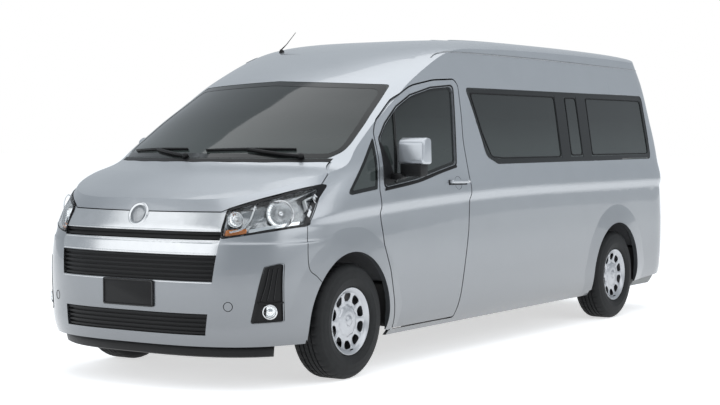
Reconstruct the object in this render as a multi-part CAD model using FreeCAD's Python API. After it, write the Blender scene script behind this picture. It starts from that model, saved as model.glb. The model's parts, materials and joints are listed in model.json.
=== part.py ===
import FreeCAD, Part
import math
import os

# A long-wheelbase, high-roof minibus in millimetres. It is drawn with y = 0 at the front axle,
# y growing towards the tail, x towards the vehicle's left and z = 0 on the ground. At the end
# every piece is moved so that the middle of the overall length is at y = 0.

V = FreeCAD.Vector

# Driving dimensions
WHEELBASE = 3860
FRONT_OVERHANG = 946
REAR_OVERHANG = 1086
TRACK = 1672
TYRE_RADIUS = 352
TYRE_WIDTH = 232
RIM_RADIUS = 203
PANEL = 22
LINING = 36
LINING_GAP = 4
LINING_START = 700
PILLAR = 30
SEAT_GAP = 0.3
SHUT_GAP = 6
DOOR_GAP = 10
GLASS = 5
GLASS_SINK = 2
DOOR_GLASS_SINK = 14
ARCH_RADIUS = 425
ARCH_LEAD = 30
FLARE = 12
FLARE_SUNK = 1.5
FLARE_INNER = 415
FLARE_RADIUS = 590
FLARE_THICK = 17
FLARE_BELOW = 12
FLARE_STEPS = 16
FLARE_SHARES = (0, 0.33, 0.66, 1)
WHEELHOUSE_RADIUS = 455
WHEELHOUSE_X = 500
WHEELHOUSE_OUT = 930
HUB_RADIUS = 34
DRUM_RADIUS = 130
LEAF_WIDTH = 70
LEAF_BOW = 70
LEAF_THICK = 28
VENTS = 10
VENT_RADIUS = 146
VENT_WIDTH = 46
VENT_HEIGHT = 52
SPRING_X = 560
RAIL_X = 290
RAIL_TOP = 470
SPRING_REACH = 600
CAB_SEAT_Y = 620
CABIN_SEAT_Y = 1750
SEAT_ROWS = 4
SEAT_PITCH = 760
SEAT_DEPTH = 450
SEAT_HEIGHT = 420
SEAT_THICK = 130
SEAT_BACK = 640
SEAT_LEG_X = 470
CAB_SEAT_X = 430
CAB_SEAT_WIDTH = 520
DOUBLE_X = 330
DOUBLE_WIDTH = 860
SINGLE_X = -560
SINGLE_WIDTH = 430
BENCH_WIDTH = 1500
FIREWALL_TOP = 1240
STEERING_X = 400
MIRROR_X = 975
MIRROR_Y = 460
MIRROR_FOOT = 8
MIRROR_PROUD = 2
MIRROR_WIDE = 195
MIRROR_ROUND = 24
BUMPER_LOW = 266
FENDER_FOOT = -300
SLAT = 12
SLAT_SINK = 10
SLAT_BACK = 31
LENS_OUT = 1
LENS_SINK = 12
LAMP_DEPTH = 120
FOG_SINK = 8
FOG_DEPTH = 70
FOG_BACK = -450
PANE_GAP = 0.6
FLANGE = 20
LINER = 8
FLOOR_TOP = 600
FLOOR_THICK = 45
DOORWAY = (902, 380, 1352)
FIREWALL_Y = -200
FIREWALL_THICK = 20
KINGPIN_X = 765
PIN_RADIUS = 16
ARM_RISE = 149
ARM_DROP = 128
ARM_GAP = 5
ARM_THICK = 18
MEMBER_LOW = 250
JACKING_PAD = (60, 50, 10)

# Where the side walls run: height, half width, how far the nose is set back from the foremost
# point, length of the rounded nose, how far the tail is set in from the rearmost point. GROOVE
# marks heights measured from the groove.
GROOVE = "groove"
WALL_ROWS = [
    (220, 900, 21, 750, 21),
    (300, 940, 6, 750, 6),
    (350, 952, 1, 750, 2),
    (405, 958, 1, 750, 1),
    (560, 966, 1, 750, 1),
    (720, 970, 6, 750, 6),
    (850, 969, 24, 750, 11),
    ((GROOVE, -70), 964, 34, 760, 16),
    ((GROOVE, -12), 961, 53, 770, 19),
    ((GROOVE, 0), 961, 58, 780, 20),
    ((GROOVE, 42), 973, 80, 800, 23),
    ((GROOVE, 54), 974, 86, 810, 24),
    ((GROOVE, 115), 967, 118, 850, 28),
    (1250, 950, 231, 1080, 38),
    (1400, 929, 346, 1380, 59),
    (1600, 899, 556, 1620, 106),
    (1800, 867, 806, 1720, 150),
    (1950, 838, 986, 1800, 192),
    (2060, 812, 1106, 1850, 236),
    (2160, 795, 1206, 1900, 285),
    (2400, 760, 1406, 2000, 400),
]
NOSE_ROUNDNESS = 2.9
NOSE_WIDTH = 966
NOSE_SMOOTH = 0.93
TAIL_ROUNDNESS = 4.0
TAIL_CORNER = 330
GROOVE_TOP = 1094
GROOVE_DROP = 110
GROOVE_DEPTH = 40
GROOVE_START = -450
GROOVE_RUN = 3000

# The bonnet, windscreen and roof along the centre line: distance behind the front axle,
# height, half width of the rounding, its depth, its roundness, how far the line bows back.
TOP_ROWS = [
    (-1300, 780, 1050, 150, 6, 0.17),
    (-1100, 922, 1050, 150, 6, 0.17),
    (-950, 1020, 1050, 150, 6, 0.17),
    (-800, 1108, 1050, 150, 6, 0.18),
    (-700, 1158, 1040, 150, 6, 0.21),
    (-600, 1205, 1030, 150, 6, 0.25),
    (-470, 1262, 1020, 150, 6, 0.31),
    (-370, 1300, 1010, 160, 6, 0.36),
    (-330, 1322, 1000, 170, 6, 0.377),
    (-220, 1393, 990, 180, 6, 0.377),
    (-100, 1468, 980, 190, 6, 0.377),
    (120, 1600, 960, 200, 6, 0.377),
    (330, 1716, 945, 200, 5.5, 0.377),
    (550, 1833, 930, 200, 6, 0.377),
    (700, 1903, 915, 205, 6, 0.37),
    (850, 1965, 900, 210, 5.8, 0.35),
    (1050, 2035, 890, 220, 5.4, 0.30),
    (1250, 2089, 880, 230, 5, 0.23),
    (1450, 2126, 870, 240, 4.6, 0.16),
    (1700, 2153, 862, 250, 4.2, 0.09),
    (2100, 2176, 860, 260, 3.9, 0.03),
    (2700, 2188, 860, 260, 3.8, 0),
    (3400, 2190, 860, 260, 3.8, 0),
    (4100, 2186, 860, 260, 3.8, 0),
    (4500, 2177, 860, 260, 3.8, 0),
    (4800, 2158, 860, 260, 3.8, 0),
    (5150, 2110, 860, 260, 3.8, 0),
]
NOSE_STEPS = [0, 0.2, 0.4, 0.56, 0.69, 0.79, 0.87, 0.93, 0.968, 0.988, 0.997, 1.0]
TAIL_STEPS = [1.0, 0.997, 0.98, 0.93, 0.84, 0.7, 0.5, 0.25, 0]
SIDE_STEPS = 9
TOP_STEPS = [0, 0.2, 0.4, 0.58, 0.73, 0.84, 0.91, 0.95]
TOP_SKIRT = [40, 120, 260]


def groove_line(y):
    t = min(1.0, max(0.0, 1 - (y - GROOVE_START) / GROOVE_RUN))
    return GROOVE_TOP - GROOVE_DEPTH - GROOVE_DROP * t * t


def rounding(f, n):
    return 1 - (1 - f ** n) ** (1 / n)


def spacing(lines):
    total = [0.0] * len(lines[0])
    for line in lines:
        run = [0.0]
        for p, q in zip(line, line[1:]):
            run.append(run[-1] + p.distanceToPoint(q))
        for i, r in enumerate(run):
            total[i] += r / run[-1] / len(lines)
    return total


def through(points, params):
    curve = Part.BSplineCurve()
    curve.interpolate(Points=points, Parameters=params)
    return curve


def net(grid):
    rows = [through(r, spacing(grid)) for r in grid]
    columns = list(zip(*[r.getPoles() for r in rows]))
    params = spacing(list(zip(*grid)))
    lines = [through(list(c), params) for c in columns]
    surface = Part.BSplineSurface()
    surface.buildFromPolesMultsKnots(
        [c.getPoles() for c in lines],
        rows[0].getMultiplicities(), lines[0].getMultiplicities(),
        rows[0].getKnots(), lines[0].getKnots(), False, False, 3, 3)
    return surface.toShape()


def both_sides(half):
    return list(reversed(half)) + [V(-p.x, p.y, p.z) for p in half[1:]]


def wall_row(row, inset):
    height, width, nose_back, length, tail_in = row
    nose = nose_back + inset - FRONT_OVERHANG
    back = WHEELBASE + REAR_OVERHANG - tail_in - inset
    flat = []
    for f in NOSE_STEPS:
        fade = min(1, (1 - f) / (1 - NOSE_SMOOTH)) if isinstance(height, tuple) else 0
        wide = width + (NOSE_WIDTH - width) * fade - inset
        flat.append((wide * f, nose + length * rounding(f, NOSE_ROUNDNESS)))
    width = width - inset
    start = nose + length
    end = back - TAIL_CORNER
    flat += [(width, start + (end - start) * i / SIDE_STEPS) for i in range(1, SIDE_STEPS)]
    flat += [(width * f, back - TAIL_CORNER * rounding(f, TAIL_ROUNDNESS)) for f in TAIL_STEPS]
    if isinstance(height, tuple):
        return [V(x, y, groove_line(y) + height[1]) for x, y in flat]
    return [V(x, y, height) for x, y in flat]


def wall_solid(inset, rows):
    side = net([both_sides(wall_row(r, inset)) for r in rows])
    rims = [e for e in side.Edges if e.isClosed()]
    faces = Part.Compound([side] + [Part.Face(Part.Wire([e])) for e in rims])
    faces.sewShape()
    solid = Part.Solid(faces.Shells[0])
    if solid.Volume < 0:
        solid.reverse()
    return solid


def top_row(row, inset):
    y, z, width, depth, n, bow = row
    half = []
    for f in TOP_STEPS:
        x = width * f
        half.append(V(x, y + bow * x * x / 1000, z - inset - depth * rounding(f, n)))
    edge = half[-1]
    for k in TOP_SKIRT:
        x = edge.x + k
        half.append(V(x, y + bow * x * x / 1000, edge.z - k))
    return half


def below_top(inset):
    return net([both_sides(top_row(r, inset)) for r in TOP_ROWS]).extrude(V(0, 0, -2600))


def skin(inset, rows=WALL_ROWS):
    return wall_solid(inset, rows).common(below_top(inset)).Solids[0]


PLAIN_ROWS = [r for r in WALL_ROWS if not isinstance(r[0], tuple)]


def rounded(points, radius=0):
    # A closed outline in its own plane, with an arc at each corner.
    n = len(points)
    pieces = []
    for i, item in enumerate(points):
        a = points[i - 1][:2]
        b = item[:2]
        c = points[(i + 1) % n][:2]
        r = item[2] if len(item) > 2 else radius
        ab = math.dist(a, b)
        bc = math.dist(b, c)
        u = ((a[0] - b[0]) / ab, (a[1] - b[1]) / ab)
        w = ((c[0] - b[0]) / bc, (c[1] - b[1]) / bc)
        angle = math.acos(max(-1, min(1, u[0] * w[0] + u[1] * w[1])))
        if r <= 0 or angle > math.pi - 0.02:
            pieces.append((b, None, b))
            continue
        cut = min(r / math.tan(angle / 2), 0.48 * ab, 0.48 * bc)
        r = cut * math.tan(angle / 2)
        mid = ((u[0] + w[0]) / 2, (u[1] + w[1]) / 2)
        size = math.hypot(*mid)
        reach = r / math.sin(angle / 2) - r
        p = (b[0] + u[0] * cut, b[1] + u[1] * cut)
        q = (b[0] + w[0] * cut, b[1] + w[1] * cut)
        m = (b[0] + mid[0] / size * reach, b[1] + mid[1] / size * reach)
        pieces.append((p, m, q))
    return pieces


def wire(pieces, put):
    edges = []
    for i, (p, m, q) in enumerate(pieces):
        if m is not None:
            edges.append(Part.Arc(put(*p), put(*m), put(*q)).toShape())
        nxt = pieces[(i + 1) % len(pieces)][0]
        if math.dist(q, nxt) > 1e-6:
            edges.append(Part.LineSegment(put(*q), put(*nxt)).toShape())
    return Part.Wire(edges)


def side_prism(points, radius=0, side=0, grow=0, inner=0, outer=1300):
    # Outline in (y, z), extruded across the vehicle: side 1 left, -1 right, 0 both.
    low = {1: inner, -1: -outer, 0: -outer}[side]
    high = {1: outer, -1: -inner, 0: outer}[side]
    face = Part.Face(wire(rounded(points, radius), lambda a, b: V(low, a, b)))
    if grow:
        face = Part.Face(face.makeOffset2D(grow, 0, False, False, False).Wires[0])
    return face.extrude(V(high - low, 0, 0))


def front_prism(points, radius=0, grow=0, start=-1300, end=1000):
    face = Part.Face(wire(rounded(points, radius), lambda a, b: V(a, start, b)))
    if grow:
        face = Part.Face(face.makeOffset2D(grow, 0, False, False, False).Wires[0])
    return face.extrude(V(0, end - start, 0))


def plan_prism(points, radius=0, grow=0, low=0, high=2600):
    face = Part.Face(wire(rounded(points, radius), lambda a, b: V(a, b, low)))
    if grow:
        face = Part.Face(face.makeOffset2D(grow, 0, False, False, False).Wires[0])
    return face.extrude(V(0, 0, high - low))


def box(x0, x1, y0, y1, z0, z1):
    return Part.makeBox(x1 - x0, y1 - y0, z1 - z0, V(x0, y0, z0))


def mirrored(shape):
    return shape.mirror(V(0, 0, 0), V(1, 0, 0))


def tube(radius, a, b):
    return Part.makeCylinder(radius, (b - a).Length, a, b - a)


def wheel_cylinder(radius, y, x0, x1):
    return Part.makeCylinder(radius, x1 - x0, V(x0, y, TYRE_RADIUS), V(1, 0, 0))


def mirror_points(half):
    return half + [(-p[0],) + tuple(p[1:]) for p in reversed(half) if p[0] > 0]


# Side view outlines, (y, z) and a corner radius
B_SEAM = [(1470, 2600), (1444, 2120), (1441, 1900), (1440, 1560), (1447, 1378), (1468, 1270),
          (1492, 1002), (1500, 857), (1478, 560), (1425, 200)]
DOOR = [(478, 262, 20), (452, 440, 200), (400, 640, 200), (330, 800, 150), (296, 985, 300),
        (290, 1140, 0), (334, 1488, 60), (380, 1557, 200), (622, 1702, 500), (838, 1796, 500),
        (1110, 1840, 600), (1370, 1853, 50), (1412, 1818, 50), (1404, 1600, 200), (1384, 1440, 400),
        (1420, 1110, 400), (1386, 850, 400), (1300, 420, 400), (1250, 262, 20)]
DOOR_WINDOW = [(352, 1156, 30), (372, 1452, 60), (471, 1546, 400), (630, 1654, 400), (810, 1732, 500),
               (1060, 1786, 500), (1340, 1808, 40), (1300, 1560, 300), (1252, 1286, 30), (1037, 1250, 500),
               (740, 1196, 400)]
MIRROR_SAIL = [(354, 1152), (372, 1440), (384, 1440), (520, 1176)]
QUARTER = [(-82, 1112, 20), (264, 1144, 8), (314, 1470, 8)]
SIDE_GLASS = [(1512, 1806, 30), (1580, 1640, 500), (1696, 1330, 120), (1850, 1277, 160),
              (WHEELBASE + 710, 1284, 60), (WHEELBASE + 698, 1500, 400), (WHEELBASE + 672, 1812, 50)]
SLIDING_DOOR = [(1520, 262, 30), (2700, 262, 30), (2700, 1900, 60), (1520, 1900, 60)]
SLIDING_GLASS = [(1600, 1806, 60), (1600, 1277, 60), (2620, 1279, 60), (2620, 1808, 60)]
REAR_GLASS = [(2780, 1808, 60), (2780, 1279, 60), (WHEELBASE + 710, 1284, 60),
              (WHEELBASE + 698, 1500, 400), (WHEELBASE + 672, 1812, 50)]
FENDER = [(-257, 1500), (40, 1470), (190, 1392), (316, 1330), (284, 1140), (290, 985), (324, 800),
          (394, 640), (446, 440), (472, 262), (472, 100), (-340, 100), (-340, 600), (-400, 655),
          (-455, 700), (-470, 900), (-447, 952), (-278, 1172), (-257, 1206)]
BUMPER_BACK = [(-1300, 100), (-340, 100), (-340, 600), (-400, 655), (-455, 700), (-470, 900),
               (-447, 952), (-278, 1172), (-257, 1206), (-257, 1300), (-1300, 1300)]
BONNET_SIDE = [(-1300, 900), (-400, 900), (-272, 1188), (-182, 1258), (-62, 1318), (-62, 1500),
               (-1300, 1500)]
LAMP_SIDE = [(-1300, 700), (-470, 900), (-452, 950), (-283, 1172), (-262, 1210), (-262, 1400),
             (-1300, 1400)]
REAR_LOW = [(WHEELBASE + 300, 264), (WHEELBASE + 1200, 318), (WHEELBASE + 1200, 100),
            (WHEELBASE + 300, 100)]
REAR_BUMPER = [(WHEELBASE + 380, 100), (WHEELBASE + 400, 462), (WHEELBASE + 1300, 474),
               (WHEELBASE + 1300, 100)]
TAIL_LAMP = [(WHEELBASE + 905, 1372), (WHEELBASE + 975, 1032), (WHEELBASE + 1010, 727),
             (WHEELBASE + 1300, 727), (WHEELBASE + 1300, 1372)]

# Front view outlines of the left half, (x, z) and a corner radius
SCREEN = [(0, 1334), (802, 1334, 40), (850, 1376, 70), (852, 1424, 120), (829, 1554, 300), (756, 1806, 30),
          (0, 1836)]
LAMP = [(598, 1052, 12), (800, 1130, 200), (1000, 1228), (1000, 958), (800, 926, 200), (606, 884, 10)]
BONNET = [(0, 1034), (560, 1038), (608, 1062, 60), (800, 1138, 200), (950, 1208), (950, 1400), (0, 1400)]
COWL = [(0, 1240), (828, 1240), (828, 1336), (0, 1336)]
CENTRE = [(0, 640), (575, 640), (594, 799), (600, 884), (590, 1030), (0, 1030)]
UPPER_GRILLE = [(0, 876), (598, 876), (596, 924), (0, 924)]
MID_GRILLE = [(0, 640), (575, 640), (592, 792), (0, 792)]
LOWER_GRILLE = [(0, 332), (532, 332), (546, 455), (0, 455)]
FOG = [(766, 404, 10), (828, 724, 12), (893, 746, 12), (888, 410, 10)]
TAILGATE = [(0, 482), (800, 482, 30), (806, 1300, 300), (735, 2046, 60), (0, 2050)]
REAR_WINDOW = [(0, 1290), (700, 1290, 60), (650, 1880, 80), (0, 1890)]
SLATS = [(640, 792, 6), (332, 455, 5), (876, 924, 2)]
# Plan view outlines, (x, y)
BONNET_PLAN = [(0, -348), (250, -325, 400), (480, -265, 500), (700, -158, 500), (836, -62), (1000, -62),
               (1000, -1300), (0, -1300)]
ROOF = [(0, 300), (700, 560), (772, 700), (640, 1500), (625, WHEELBASE + 1300), (0, WHEELBASE + 1300)]


def layer(zone, depth, back, rows=PLAIN_ROWS):
    # The sheet between two depths below the surface, inside a zone.
    return skin(depth, rows).common(zone).cut(skin(back, rows))


def surface_x(body, spots):
    # How far out the left side of the body is at each (y, z).
    lines = [Part.makeLine(V(500, y, z), V(1300, y, z)) for y, z in spots]
    inside = body.common(Part.Compound(lines))
    found = {}
    for edge in inside.Edges:
        for vertex in edge.Vertexes:
            p = vertex.Point
            key = (round(p.y, 1), round(p.z, 1))
            found[key] = max(p.x, found.get(key, 0))
    return [found[(round(y, 1), round(z, 1))] for y, z in spots]


def flare(body, y):
    # A ridge that rises from a crease around the arch towards its lip.
    spots = []
    rises = []
    for i in range(FLARE_STEPS + 1):
        angle = math.radians((180 + 2 * FLARE_BELOW) * i / FLARE_STEPS - FLARE_BELOW)
        for share in FLARE_SHARES:
            r = FLARE_INNER + (FLARE_RADIUS - FLARE_INNER) * share
            spots.append((y - ARCH_LEAD - r * math.cos(angle), TYRE_RADIUS + r * math.sin(angle)))
            rises.append(FLARE * (1 - share) - FLARE_SUNK * share)
    points = [V(x + rise, *spot) for x, rise, spot in zip(surface_x(body, spots), rises, spots)]
    n = len(FLARE_SHARES)
    grid = [points[k:k + n] for k in range(0, len(points), n)]
    return net(grid).extrude(V(-FLARE_THICK, 0, 0))


def arches(lip_radius, house_radius):
    cuts = []
    for y in (0, WHEELBASE):
        lip = wheel_cylinder(lip_radius, y - ARCH_LEAD, KINGPIN_X, 1300)
        house = wheel_cylinder(house_radius, y, WHEELHOUSE_X, WHEELHOUSE_OUT)
        cuts += [lip, house, mirrored(lip), mirrored(house)]
    return cuts


def solids(shape, least=2e4):
    keep = [s for s in shape.Solids if s.Volume > least]
    if not keep:
        raise ValueError("nothing left")
    return keep[0] if len(keep) == 1 else Part.Compound(keep)


def front_zone(points, grow=0, start=-1300, end=1000):
    return front_prism(mirror_points(points), 0, grow, start, end)


def bonnet_zone(grow):
    zone = front_zone(BONNET, grow, end=0)
    zone = zone.common(side_prism(BONNET_SIDE, 0, 0, grow))
    return zone.common(plan_prism(mirror_points(BONNET_PLAN), 0, grow))


def wheel(y, side):
    # Tyre and wheel, drawn for the left side and mirrored for the right.
    half = TYRE_WIDTH / 2
    x = TRACK / 2
    bead = RIM_RADIUS + 12
    profile = [(-half + 20, bead), (-half, 270), (-half + 8, TYRE_RADIUS - 20), (-half + 32, TYRE_RADIUS),
               (half - 32, TYRE_RADIUS), (half - 8, TYRE_RADIUS - 20), (half, 270), (half - 20, bead)]
    ring = Part.Face(Part.makePolygon([V(x + a, 0, r) for a, r in profile + profile[:1]]))
    tyre = ring.revolve(V(0, 0, 0), V(1, 0, 0), 360)
    seat = bead - SEAT_GAP
    rim_profile = [(-half + 20, seat), (-half + 20, RIM_RADIUS - 4), (-half + 45, RIM_RADIUS - 22),
                   (half - 75, RIM_RADIUS - 22), (half - 80, 100), (half - 95, 45), (half - 95, HUB_RADIUS),
                   (half - 28, HUB_RADIUS), (half - 30, 52), (half - 44, 66), (half - 50, 120),
                   (half - 40, 165), (half - 24, RIM_RADIUS - 12), (half - 14, RIM_RADIUS + 2),
                   (half - 20, seat)]
    ring = Part.Face(Part.makePolygon([V(x + a, 0, r) for a, r in rim_profile + rim_profile[:1]]))
    rim = ring.revolve(V(0, 0, 0), V(1, 0, 0), 360)
    vents = []
    for i in range(VENTS):
        vent = box(x + half - 78, x + half, -VENT_WIDTH / 2, VENT_WIDTH / 2, VENT_RADIUS - VENT_HEIGHT / 2,
                   VENT_RADIUS + VENT_HEIGHT / 2)
        vent.rotate(V(0, 0, 0), V(1, 0, 0), 360 * i / VENTS)
        vents.append(vent)
    rim = rim.cut(vents)
    pair = []
    for shape in (tyre, rim):
        shape.translate(V(0, y, TYRE_RADIUS))
        pair.append(shape if side > 0 else mirrored(shape))
    return pair


def knuckle():
    x = TRACK / 2 + TYRE_WIDTH / 2 - 95
    hub = TYRE_RADIUS
    stub = tube(HUB_RADIUS - 0.5, V(KINGPIN_X - 30, 0, hub), V(x + 60, 0, hub))
    flange = tube(70, V(x - 40, 0, hub), V(x - 10, 0, hub))
    upright = box(KINGPIN_X - 30, KINGPIN_X + 10, -38, 38, hub - ARM_DROP + ARM_GAP, hub + ARM_RISE - ARM_GAP)
    pin = KINGPIN_X - 10
    pins = tube(PIN_RADIUS, V(pin, 0, hub - ARM_DROP - 24), V(pin, 0, hub + ARM_RISE + 24))
    arm = box(KINGPIN_X - 30, KINGPIN_X, 20, 130, hub - 40, hub - 15)
    return stub.fuse([flange, upright, pins, arm]).removeSplitter()


def front_suspension():
    hub = TYRE_RADIUS
    pin = KINGPIN_X - 10
    across, along, drop = JACKING_PAD
    member = box(-360, 360, -70, 70, MEMBER_LOW, 330)
    pad = box(-across, across, -along, along, MEMBER_LOW - drop, MEMBER_LOW + 5)
    arm_low = hub - ARM_DROP - ARM_THICK - 4
    pieces = [member, pad]
    for side in (1, -1):
        low = box(355, pin - 20, -35, 35, arm_low, arm_low + ARM_THICK)
        low = low.fuse(tube(34, V(pin, 0, arm_low), V(pin, 0, hub - ARM_DROP)))
        low = low.cut(tube(PIN_RADIUS + 1, V(pin, 0, hub - 200), V(pin, 0, hub)))
        high = box(355, pin - 20, -28, 28, hub + ARM_RISE + 2, hub + ARM_RISE + 18)
        high = high.fuse(tube(28, V(pin, 0, hub + ARM_RISE), V(pin, 0, hub + ARM_RISE + 20)))
        high = high.cut(tube(PIN_RADIUS + 1, V(pin, 0, hub + 100), V(pin, 0, hub + 220)))
        tower = box(330, 370, -60, 60, arm_low, FLOOR_TOP - FLOOR_THICK - SEAT_GAP)
        rail = box(RAIL_X - 30, RAIL_X + 30, -620, 60, RAIL_TOP - 70, RAIL_TOP)
        post = box(RAIL_X - 30, RAIL_X + 45, -60, 60, MEMBER_LOW, RAIL_TOP)
        group = [low, high, tower, rail, post]
        pieces += group if side > 0 else [mirrored(g) for g in group]
    return pieces[0].fuse(pieces[1:]).removeSplitter()


def rear_axle():
    x = TRACK / 2 + TYRE_WIDTH / 2 - 95
    y = WHEELBASE
    beam = tube(45, V(-x + 45, y, TYRE_RADIUS), V(x - 45, y, TYRE_RADIUS))
    ends = []
    for s in (1, -1):
        ends.append(tube(HUB_RADIUS - 0.5, V(s * (x - 60), y, TYRE_RADIUS), V(s * (x + 60), y, TYRE_RADIUS)))
        ends.append(tube(DRUM_RADIUS, V(s * (x - 75), y, TYRE_RADIUS), V(s * (x - 12), y, TYRE_RADIUS)))
    pot = Part.makeSphere(125, V(0, y, TYRE_RADIUS)).common(box(-110, 110, y - 130, y + 130, 0, 900))
    nose = tube(50, V(0, y - 230, TYRE_RADIUS), V(0, y, TYRE_RADIUS))
    return beam.fuse(ends + [pot, nose]).removeSplitter()


def leaf_springs():
    y = WHEELBASE
    low = TYRE_RADIUS + 45 + SEAT_GAP
    leaves = []
    for side in (1, -1):
        x = side * SPRING_X
        ends = [[V(x, y + s * SPRING_REACH, low + LEAF_BOW + h) for s in (1, -1)] for h in (0, LEAF_THICK)]
        arcs = [Part.Arc(a, V(x, y, a.z - LEAF_BOW), b).toShape() for a, b in ends]
        sides = [Part.makeLine(a, b) for a, b in zip(*ends)]
        face = Part.Face(Part.Wire(Part.__sortEdges__(arcs + sides)))
        leaf = face.extrude(V(LEAF_WIDTH, 0, 0))
        leaf.translate(V(-LEAF_WIDTH / 2, 0, 0))
        under = FLOOR_TOP - FLOOR_THICK - SEAT_GAP
        for s in (1, -1):
            end = y + s * (SPRING_REACH + 5)
            hanger = box(x - 45, x + 45, end - 30, end + 30, low + 60, under)
            leaf = leaf.fuse(hanger)
        leaves.append(leaf.removeSplitter())
    return leaves


def seat(x, y, width):
    # A cushion and a leaning back on a leg that stays inboard of the wheelhouses.
    low = max(x - width / 2 + 20, -SEAT_LEG_X)
    high = min(x + width / 2 - 20, SEAT_LEG_X)
    cushion_low = FLOOR_TOP + SEAT_HEIGHT - SEAT_THICK
    leg = box(low, high, y + 60, y + SEAT_DEPTH - 80, FLOOR_TOP + SEAT_GAP, cushion_low)
    profile = [(y, cushion_low, 20), (y, FLOOR_TOP + SEAT_HEIGHT, 40),
               (y + SEAT_DEPTH - 20, FLOOR_TOP + SEAT_HEIGHT - 30, 0),
               (y + SEAT_DEPTH + 95, FLOOR_TOP + SEAT_HEIGHT + SEAT_BACK, 40),
               (y + SEAT_DEPTH + 190, FLOOR_TOP + SEAT_HEIGHT + SEAT_BACK - 10, 30),
               (y + SEAT_DEPTH + 80, cushion_low, 60)]
    body = side_prism(profile, 0, 0, 0, 0, width / 2)
    body.translate(V(x, 0, 0))
    return leg.fuse(body).removeSplitter()


def seats():
    rows = [CABIN_SEAT_Y + i * SEAT_PITCH for i in range(SEAT_ROWS)]
    return {
        "seats_cab": Part.Compound([seat(s * CAB_SEAT_X, CAB_SEAT_Y, CAB_SEAT_WIDTH) for s in (1, -1)]),
        "seats_left": Part.Compound([seat(DOUBLE_X, y, DOUBLE_WIDTH) for y in rows[:-1]]),
        "seats_right": Part.Compound([seat(SINGLE_X, y, SINGLE_WIDTH) for y in rows[:-1]]),
        "seat_bench": seat(0, rows[-1], BENCH_WIDTH),
    }


def engine_block():
    block = box(-230, 230, -640, -215, 420, 880)
    head = box(-170, 170, -600, -250, 879, 960)
    sump = box(-150, 150, -560, -300, 335, 421)
    feet = box(-RAIL_X - 20, RAIL_X + 20, -470, -400, RAIL_TOP + SEAT_GAP, RAIL_TOP + 40)
    return block.fuse([head, sump, feet]).removeSplitter()


def dashboard():
    # The fascia board across the cab, with a hooded binnacle and the steering column.
    profile = [(-170, 860), (-170, 1215), (60, 1262), (190, 1240), (250, 1150), (215, 980), (60, 900),
               (40, 860)]
    face = Part.Face(wire(rounded(profile, 30), lambda a, b: V(-1000, a, b)))
    board = face.extrude(V(2000, 0, 0)).common(skin(PANEL + LINING + 6, PLAIN_ROWS))
    hood = side_prism([(90, 1200), (120, 1330), (230, 1318), (262, 1200)], 30, 1, 0, 250, 560)
    hub = V(STEERING_X, 500, 1190)
    column = tube(26, V(STEERING_X, 150, 1010), hub)
    board = board.fuse([hood, column])
    axis = hub - V(STEERING_X, 150, 1010)
    rim = Part.makeTorus(185, 14, hub, axis)
    spokes = []
    for angle in (0, 120, 240):
        spoke = box(-14, 14, 20, 178, -8, 8)
        spoke.rotate(V(0, 0, 0), V(0, 0, 1), angle)
        turn = FreeCAD.Rotation(V(0, 0, 1), axis)
        spoke.Placement = FreeCAD.Placement(hub, turn).multiply(spoke.Placement)
        spokes.append(spoke)
    boss = Part.makeCylinder(52, 36, hub - axis.normalize() * 18, axis)
    return solids(board), rim.fuse(spokes + [boss]).cut(column)


def floor_pan(inside):
    # Floor and firewall, cut out around the wheelhouses and kept clear of the front doors.
    reach = box(-1000, 1000, FIREWALL_Y, WHEELBASE + 1300, FLOOR_TOP - FLOOR_THICK, FLOOR_TOP)
    wall = box(-1000, 1000, FIREWALL_Y, FIREWALL_Y + FIREWALL_THICK, RAIL_TOP + SHUT_GAP, FIREWALL_TOP)
    radius = WHEELHOUSE_RADIUS + LINER + SEAT_GAP
    holes = [wheel_cylinder(radius, y, WHEELHOUSE_X - LINER - SEAT_GAP, 1300) for y in (0, WHEELBASE)]
    edge, start, end = DOORWAY
    holes.append(box(edge, 1000, start, end, FLOOR_TOP - FLOOR_THICK - 1, FLOOR_TOP + 1))
    return solids(inside.common(reach.fuse(wall)).cut(holes + [mirrored(h) for h in holes]))


def wheelhouses(inside, y):
    house = wheel_cylinder(WHEELHOUSE_RADIUS, y, WHEELHOUSE_X, WHEELHOUSE_OUT)
    shell = wheel_cylinder(WHEELHOUSE_RADIUS + LINER, y, WHEELHOUSE_X - LINER, WHEELHOUSE_OUT)
    shell = shell.common(box(0, 1300, -1300, 6000, FLOOR_TOP - FLOOR_THICK, 2000))
    shell = solids(inside.common(shell).cut(house))
    return Part.Compound([shell, mirrored(shell)])


def door_mirror():
    # Housing on a bracket that is seated on the door's belt.
    outline = [(MIRROR_Y, 1292, 25), (MIRROR_Y + 8, 1450, 40), (MIRROR_Y + 60, 1468, 40),
               (MIRROR_Y + 112, 1455, 30), (MIRROR_Y + 118, 1292, 20)]
    head = side_prism(outline, 0, 1, 0, MIRROR_X, MIRROR_X + MIRROR_WIDE)
    rim = [e for e in head.Edges if e.BoundBox.XMin > MIRROR_X + MIRROR_WIDE - 1]
    head = head.makeFillet(MIRROR_ROUND, rim)
    stalk = box(MIRROR_X + 20, MIRROR_X + 165, MIRROR_Y + 12, MIRROR_Y + 105, 1205, 1293)
    arm = box(900, MIRROR_X + 30, MIRROR_Y - 60, MIRROR_Y + 60, 1195, 1240).cut(skin(MIRROR_FOOT, PLAIN_ROWS))
    corner = side_prism(MIRROR_SAIL, 0, 1).common(side_prism(DOOR_WINDOW, 0, 1, -PANE_GAP))
    foot = layer(corner, -MIRROR_PROUD, DOOR_GLASS_SINK - SEAT_GAP)
    return head.fuse([stalk, arm, foot]).removeSplitter()


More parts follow.
